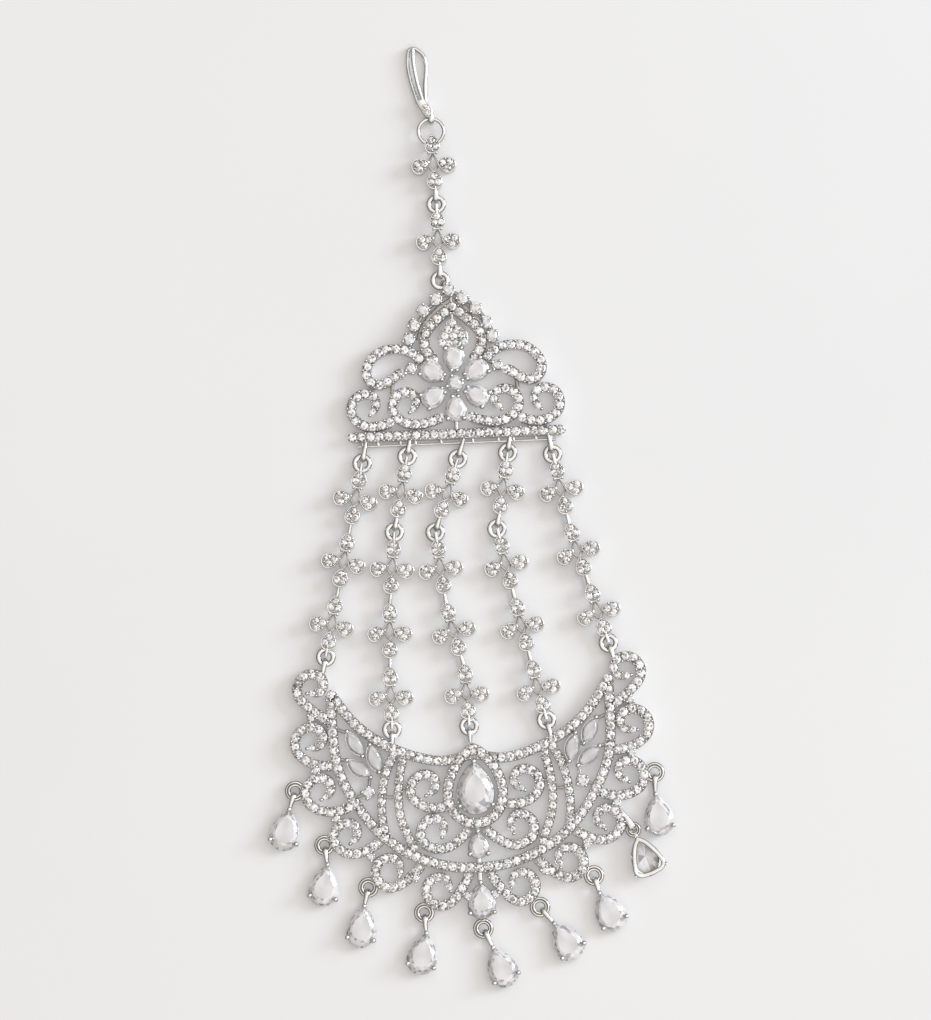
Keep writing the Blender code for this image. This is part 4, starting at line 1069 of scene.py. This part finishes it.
def crown(top_ring):
    made = Setting()
    gems = Shape()
    top = PLATE_TOP
    for x, y in EDGE_ROUNDS:
        for sx in sorted({x, -x}):
            made.prong_round(sx + EDGE_LEAN, y, top + 0.05, LARGE_ROUND)
    x, y = LOOP_ROUND
    for sx in (x, -x):
        made.prong_round(sx, y, top + 0.05)
    made.row([(-BAR_HALF, BAR_Y), (BAR_HALF, BAR_Y)], BAR_WIDTH, top)
    for curve, band in ((ARCH, ARCH_BAND), (LOOP_CURVE, SCROLL_BAND)):
        for path in both(smooth(curve)):
            made.row(path, band, top)
    for row in CROWN_SCROLLS:
        for path in both(scroll(**row)):
            made.row(path, SCROLL_BAND, top, eye=True)
    # stays and the low plate round the arch are painted darker, as if in shade
    for stay in CROWN_STAYS:
        for path in both(stay):
            bar(made.metal, path, 0.6, 0, top - 0.9, shade=PAINTED_STAY_SHADE)
    for path in both(smooth(ARCH_EDGE)):
        bar(made.metal, path, 0.8, 0, top - 0.9, shade=PAINTED_STAY_SHADE)
    # the spine's top painted a little darker (0.8), as shade
    for upper, lower in CROWN_SPINE:
        bar(made.metal, [(0, upper), (0, lower)], 0.55, 0, top - 0.5, shade=0.8)
    teardrop = placed(pear(TEARDROP_LENGTH, TEARDROP_WIDTH), 0, TEARDROP_Y)
    made.filled(teardrop, 0, top - 0.1, placed(TEARDROP_SPOTS, 0, TEARDROP_Y), 0.64)
    for i in range(6):
        turn = 60 * i
        px, py = placed([(0, PETAL_RING)], 0, 0, turn)[0]
        seat = pear(PETAL_STONE_LENGTH + 0.3, PETAL_STONE_WIDTH + 0.3, 40, 0.5)
        cup(made.metal, placed(seat, px, py, turn + 180), 0, top, 0.2, 0.6)
        made.taken.append((px, py))
        outline = pear(PETAL_STONE_LENGTH + 0.1, PETAL_STONE_WIDTH + 0.1, 24, 0.5)
        brilliant(gems, outline, top, 2.65, 0.9, 0.62, at(px, py, turn + 180), 11 + i)
        for reach, aside, size in PETAL_BALLS:
            bx, by = placed([(0, reach)], 0, 0, turn + aside)[0]
            ball(made.metal, bx, by, top + 0.22, size, 8, 12)
    cup(made.metal, circle(1.42, 32), 0, top + 0.12, 0.16, 0.4)
    made.taken.append((0, 0))
    brilliant(gems, circle(1.3, 20), 2.2, 2.9, 1.4, 0.56, None, 5)
    for i in range(4):
        px, py = placed([(1.32, 0)], 0, 0, 20 + 90 * i)[0]
        prong(made.metal, px, py, 1.4, 2.6, 0.33)
    end = BAR_HALF - 0.9
    # the rail and its posts painted a little darker (0.85), as shade
    bar(made.metal, [(-end, RAIL_Y), (end, RAIL_Y)], 0.34, 0.2, RAIL_TOP, 0.1, 0.85)
    for x in RAIL_POSTS:
        for sx in (x, -x):
            bar(made.metal, [(sx, RAIL_Y), (sx, BAR_Y)], 0.45, 0.2, RAIL_TOP, 0.1, 0.85)
    for row in STRINGS:
        heading = row["links"][0][1]
        drop = BAR_Y - BAR_WIDTH / 2 - own(row["ring"], CROWN)[1]
        reach = drop / math.cos(math.radians(heading - CROWN[2])) - RING_RADIUS
        carrier(made.metal, CROWN, row["ring"], heading + 180, reach)
    made.fill(top - SEAT_DEPTH)
    cx, cy = placed([EDGE_ROUNDS[0]], *CROWN)[0]
    lean = math.degrees(math.atan2(cx - top_ring[0], top_ring[1] - cy))
    carrier(made.metal, CROWN, top_ring, lean, 1.3)
    dressed("crown", made.meshes("crown"), *CROWN, "crown_frame")
    piece("crown_gems", gems.mesh("crown_gems", GEM, 0), "clear_stone", *CROWN, ["flower_stone"])

# Crescent

def crescent(string_ends):
    made = Setting()
    gems = Shape()
    top = PLATE_TOP
    for row in PEARS:
        made.taken.append((0, row["y"]))
    halo = placed(pear(PEAR_HALO["length"], PEAR_HALO["width"], 48, 0.5), 0, PEAR_HALO["y"])
    made.row(halo, BAND, top + 0.1, closed=True)
    for arc in (smooth(TOP_ARC), smooth(OUTER_ARC)):
        made.row(mirror(arc)[::-1] + arc[1:], BAND, top)
    for path in (*both(smooth(OUTER_BAR)), *both(smooth(INNER_BAR))):
        made.row(path, BAR_BAND, top)
    for row in SCROLLS:
        for path in both(scroll(**row)):
            made.row(path, SCROLL_BAND, top, eye=True)
    for x, y in STUDS:
        for sx in (x, -x):
            made.prong_round(sx, y, top, 0.62, 3)
    # the marquise stays are painted darker, as if in shade
    for stay in MARQUISE_STAYS:
        for path in both(stay):
            bar(made.metal, path, 0.5, 0, top - 1.1, shade=PAINTED_STAY_SHADE)
    for flip in (1, -1):
        for i, (x, y, turn) in enumerate(MARQUISES):
            place = (flip * x, y, flip * turn)
            seat = placed(marquise(MARQUISE_LENGTH + 0.3, MARQUISE_WIDTH + 0.3, 40), *place)
            cup(made.metal, seat, 0, top + 0.12, 0.2, 0.5)
            outline = marquise(MARQUISE_LENGTH - 0.05, MARQUISE_WIDTH, 28)
            brilliant(gems, outline, top - 0.1, 2.55, 1.1, 0.72, at(*place), 30 + i, calm=True)
            for end in (-1, 1):
                px, py = placed([(0, end * (MARQUISE_LENGTH / 2 + 0.12))], *place)[0]
                prong(made.metal, px, py, 0.5, 2.4, 0.38)
        x, y = CRESCENT_ROUND
        made.prong_round(flip * x, y, top + 0.05, LARGE_ROUND)
    bar(made.metal, [(0, -4.9), (0, -15.5)], 0.8, 0, top - 0.4)
    for row in PEARS:
        length, width, y, sides = row["length"], row["width"], row["y"], row["sides"]
        seat = placed(pear(length - 0.25, width - 0.25), 0, y)
        bar(made.metal, spaced(seat, 0.4, True), 0.45, row["foot"], top - 0.25, closed=True)
        outline = pear(length, width, sides)
        seed = sides + round(y)
        brilliant(gems, outline, PEAR_GIRDLE, row["table"], row["culet"], 0.56, at(0, y), seed)
        shoulder = (width / 2 * 0.86 + 0.1, y - length * 0.33)
        for px, py in ((0, y + length / 2 + 0.2), shoulder, (-shoulder[0], shoulder[1])):
            prong(made.metal, px, py, 0.3, 2.75, 0.42)
    for row in DROPS:
        fixed_ring(made.metal, row["ring"], row["root"])
    turned_drop_loop(made.metal)
    for ring, heading, length in string_ends:
        carrier(made.metal, CRESCENT, ring, heading, length)
    made.fill(top - SEAT_DEPTH)
    dressed("crescent", made.meshes("crescent"), *CRESCENT, "crescent_frame")
    nodes = [f"{size}_pear_stone" for size in ("large", "small", "bottom")]
    nodes += [f"round_stone_{side}" for side in ("left", "right")]
    nodes += [f"marquise_stone_{side}_{i}" for side in ("left", "right") for i in (1, 2, 3)]
    piece("crescent_gems", gems.mesh("crescent_gems", GEM, 0), "clear_stone", *CRESCENT, nodes)

def fixed_ring(shape, ring, root):
    """Flat fixed ring that a drop hangs from, with a short stem to the crescent's edge."""
    x, y = own(ring, CRESCENT)
    foot = own(root, CRESCENT)
    path = [(x + RING_RADIUS * math.cos(a), y + RING_RADIUS * math.sin(a)) for a in turns(32)]
    sweep(shape, path, groove_profile(WASHER_BAND + 0.08, WASHER_HALF), True)
    toward = (Vector(foot) - Vector((x, y))).normalized()
    start = Vector((x, y)) + toward * RING_RADIUS
    bar(shape, [start, foot], 0.8, LINK_Z - WASHER_HALF, LINK_Z + WASHER_HALF)

def turned_drop_loop(shape):
    """The crescent's loop round the ring of the turned drop."""
    row = TURNED_DROP
    middle = Vector(row["ring"]) - heading_vector(row["loop"]) * TURNED_RING_RADIUS
    length = (middle - Vector(row["root"])).length
    matrix = at(*own(middle, CRESCENT), row["loop"] - CRESCENT[2])
    hairpin(shape, length - 1.2, 0, LOOP_RADIUS, LOOP_WIRE, LINK_Z, matrix, TURNED_STRAP)

# Drops


def set_drop(made, y, matrix, seed, culet=0.2):
    """Open pear basket with its stone, the stone's tip at y and its body below."""
    middle = y - DROP_LENGTH / 2
    basket = Shape()
    for size, low_z, high_z, width in ((0.9, 0.05, 0.45, 0.45), (0.6, 0.85, DROP_FRAME_TOP, 0.4)):
        path = placed(pear(DROP_LENGTH - size, DROP_WIDTH - size, 40), 0, middle)
        bar(basket, spaced(path, 0.4, True), width, low_z, high_z, 0.1, closed=True)
    shoulder = (DROP_WIDTH * 0.42, y - DROP_LENGTH * 0.768)
    for px, py in ((0, y + 0.1), shoulder, (-shoulder[0], shoulder[1])):
        prong(basket, px, py, 0.1, 2.1, 0.46)
    side = DROP_WIDTH * 0.36
    for px, py in ((side, middle + 0.6), (-side, middle + 0.6), (0, middle - DROP_LENGTH * 0.47)):
        lofted(basket, [[(qx, qy, z) for qx, qy in circle(0.16, 8, px, py)] for z in (0.2, 1.2)])
    made.metal.join(basket, matrix)
    outline = placed(pear(DROP_LENGTH - 0.05, DROP_WIDTH - 0.15, 32, 0.7), 0, middle + 0.1)
    brilliant(made.stones, outline, DROP_FRAME_TOP + 0.05, 2.1, culet, 0.62, matrix, seed)

def drops():
    for i, row in enumerate(DROPS):
        node = f"drop_{i + 1}"
        made = Setting()
        bend = row["bail"] - row["stone"]
        reach = row["reach"]
        x, y = placed([(0, -reach)], 0, 0, bend)[0]
        hairpin(made.metal, -reach - 0.1, -RING_RADIUS, LOOP_RADIUS, LOOP_WIRE, LINK_Z, at(0, 0, bend))
        set_drop(made, y, at(x, 0), 60 + i)
        dressed(node, made.meshes(node, GEM), *row["ring"], row["stone"], node)

def turned_drop():
    """The drop that lies face down, with its three-cornered frame on top."""
    row = TURNED_DROP
    made = Setting()
    over = Matrix.Translation((0, 0, 2.7)) @ Matrix.Rotation(math.pi, 4, "Y")
    tip = -TURNED_RING_RADIUS - 0.55
    set_drop(made, tip, over, 90, 0.75)
    sweep(made.metal, circle(TURNED_RING_RADIUS + 0.05, 32), groove_profile(0.78, TURNED_RING_WIRE), True)
    neck = [(0, -TURNED_RING_RADIUS), (0, -TURNED_RING_RADIUS - 1.2)]
    bar(made.metal, neck, 0.6, LINK_Z - TURNED_RING_WIRE, LINK_Z + TURNED_RING_WIRE)
    middle = tip - DROP_LENGTH / 2
    flank = smooth(TURNED_FLANK, 4)
    back = placed(flank + mirror(flank)[::-1][1:-1], 0, middle)
    bar(made.metal, back, 0.72, 2.1, 2.72, 0.15, closed=True)
    for side in (-1, 1):
        foot = (side * DROP_WIDTH * 0.4, middle - DROP_LENGTH * 0.26)
        nub = (side * DROP_WIDTH * 0.53, middle - DROP_LENGTH * 0.35)
        bar(made.metal, [foot, nub], 0.6, 1.9, 2.55, 0.2)
    dressed("drop_turned", made.meshes("drop_turned", GEM), *row["ring"], row["stone"], "drop_turned")

# Floor, light and camera


# Sizes and places in metres, but LOOK_AT
KEY_AT = (1.04, 0.34, 0.54)
KEY_SIZE = 0.5
KEY_POWER = 9.2
KEY_COLOUR = (0.78, 0.89, 1.0)
SKY_STRENGTH = 1.16
PAPER_HALF = 0.6
CAMERA_DISTANCE = 0.75
CAMERA_TILT = 4.0  # degrees from straight down, towards the drops
VIEW_HEIGHT = 0.1632  # what the picture's height takes in
SENSOR = 24.0
LOOK_AT = (-1.04, 1.2, 1.5)  # place in the tables

def surroundings():
    """Sheet of paper, one key lamp, and a sky that is dark low down and bright overhead."""
    sheet = bpy.data.meshes.new("paper_sheet")
    r = PAPER_HALF
    sheet.from_pydata([(-r, -r, 0), (r, -r, 0), (r, r, 0), (-r, r, 0)], [], [[0, 1, 2, 3]])
    sheet.materials.append(paper())
    ground = bpy.data.objects.new("paper_sheet", sheet)
    bpy.context.scene.collection.objects.link(ground)
    lamp = bpy.data.lights.new("key", "AREA")
    lamp.size = KEY_SIZE
    lamp.energy = KEY_POWER
    lamp.color = KEY_COLOUR
    item = bpy.data.objects.new("key", lamp)
    item.location = KEY_AT
    item.rotation_euler = (-Vector(KEY_AT)).to_track_quat("-Z", "Y").to_euler()
    bpy.context.scene.collection.objects.link(item)
    world = bpy.data.worlds.new("studio")
    bpy.context.scene.world = world
    world.use_nodes = True
    tree = world.node_tree
    sky = tree.nodes["Background"]
    place = tree.nodes.new("ShaderNodeTexCoord")
    split = tree.nodes.new("ShaderNodeSeparateXYZ")
    tree.links.new(place.outputs["Generated"], split.inputs["Vector"])
    across = tree.nodes.new("ShaderNodeMapRange")
    across.inputs["From Min"].default_value = -1.0
    tree.links.new(split.outputs["X"], across.inputs["Value"])
    sides = ramp(tree, across.outputs["Result"], [
        (0.0, (0.24, 0.22, 0.20)), (1.0, (1.10, 1.075, 1.03)),
        (0.35, (0.58, 0.56, 0.53)), (0.52, (0.92, 0.895, 0.855)),
    ])
    rise = ramp(tree, split.outputs["Z"], [
        (0.0, (0.06, 0.05, 0.04)), (0.92, (1.24, 1.225, 1.2)),
        (0.3, (0.32, 0.30, 0.27)), (0.6, (0.91, 0.895, 0.87)),
    ])
    tree.links.new(product(tree, sides, rise), sky.inputs["Color"])
    sky.inputs["Strength"].default_value = SKY_STRENGTH


def camera():
    lens = bpy.data.cameras.new("camera")
    lens.sensor_fit = "VERTICAL"
    lens.sensor_height = SENSOR
    lens.lens = SENSOR * CAMERA_DISTANCE / VIEW_HEIGHT
    item = bpy.data.objects.new("camera", lens)
    target = (Vector(LOOK_AT) + SHIFT) * MM
    tilt = math.radians(CAMERA_TILT)
    item.location = target + CAMERA_DISTANCE * Vector((0, -math.sin(tilt), math.cos(tilt)))
    item.rotation_euler = (tilt, 0, 0)
    bpy.context.scene.collection.objects.link(item)
    bpy.context.scene.camera = item
    bpy.context.scene.view_settings.view_transform = "Standard"


def main():
    hook()
    top_ring = hang_string("top", HOOK_RING_AT, TOP_FLORETS, "ring")
    crown(top_ring)
    ends = []
    for i, row in enumerate(STRINGS):
        tag = f"string{i + 1}"
        lay_ring(f"ring_{tag}_1", row["ring"])
        last = hang_string(tag, row["ring"], row["links"], "tucked")
        ends.append((tuple(last), row["links"][-1][1], row["carrier"]))
    crescent(ends)
    drops()
    turned_drop()
    surroundings()
    camera()


main()
bpy.context.view_layer.update()
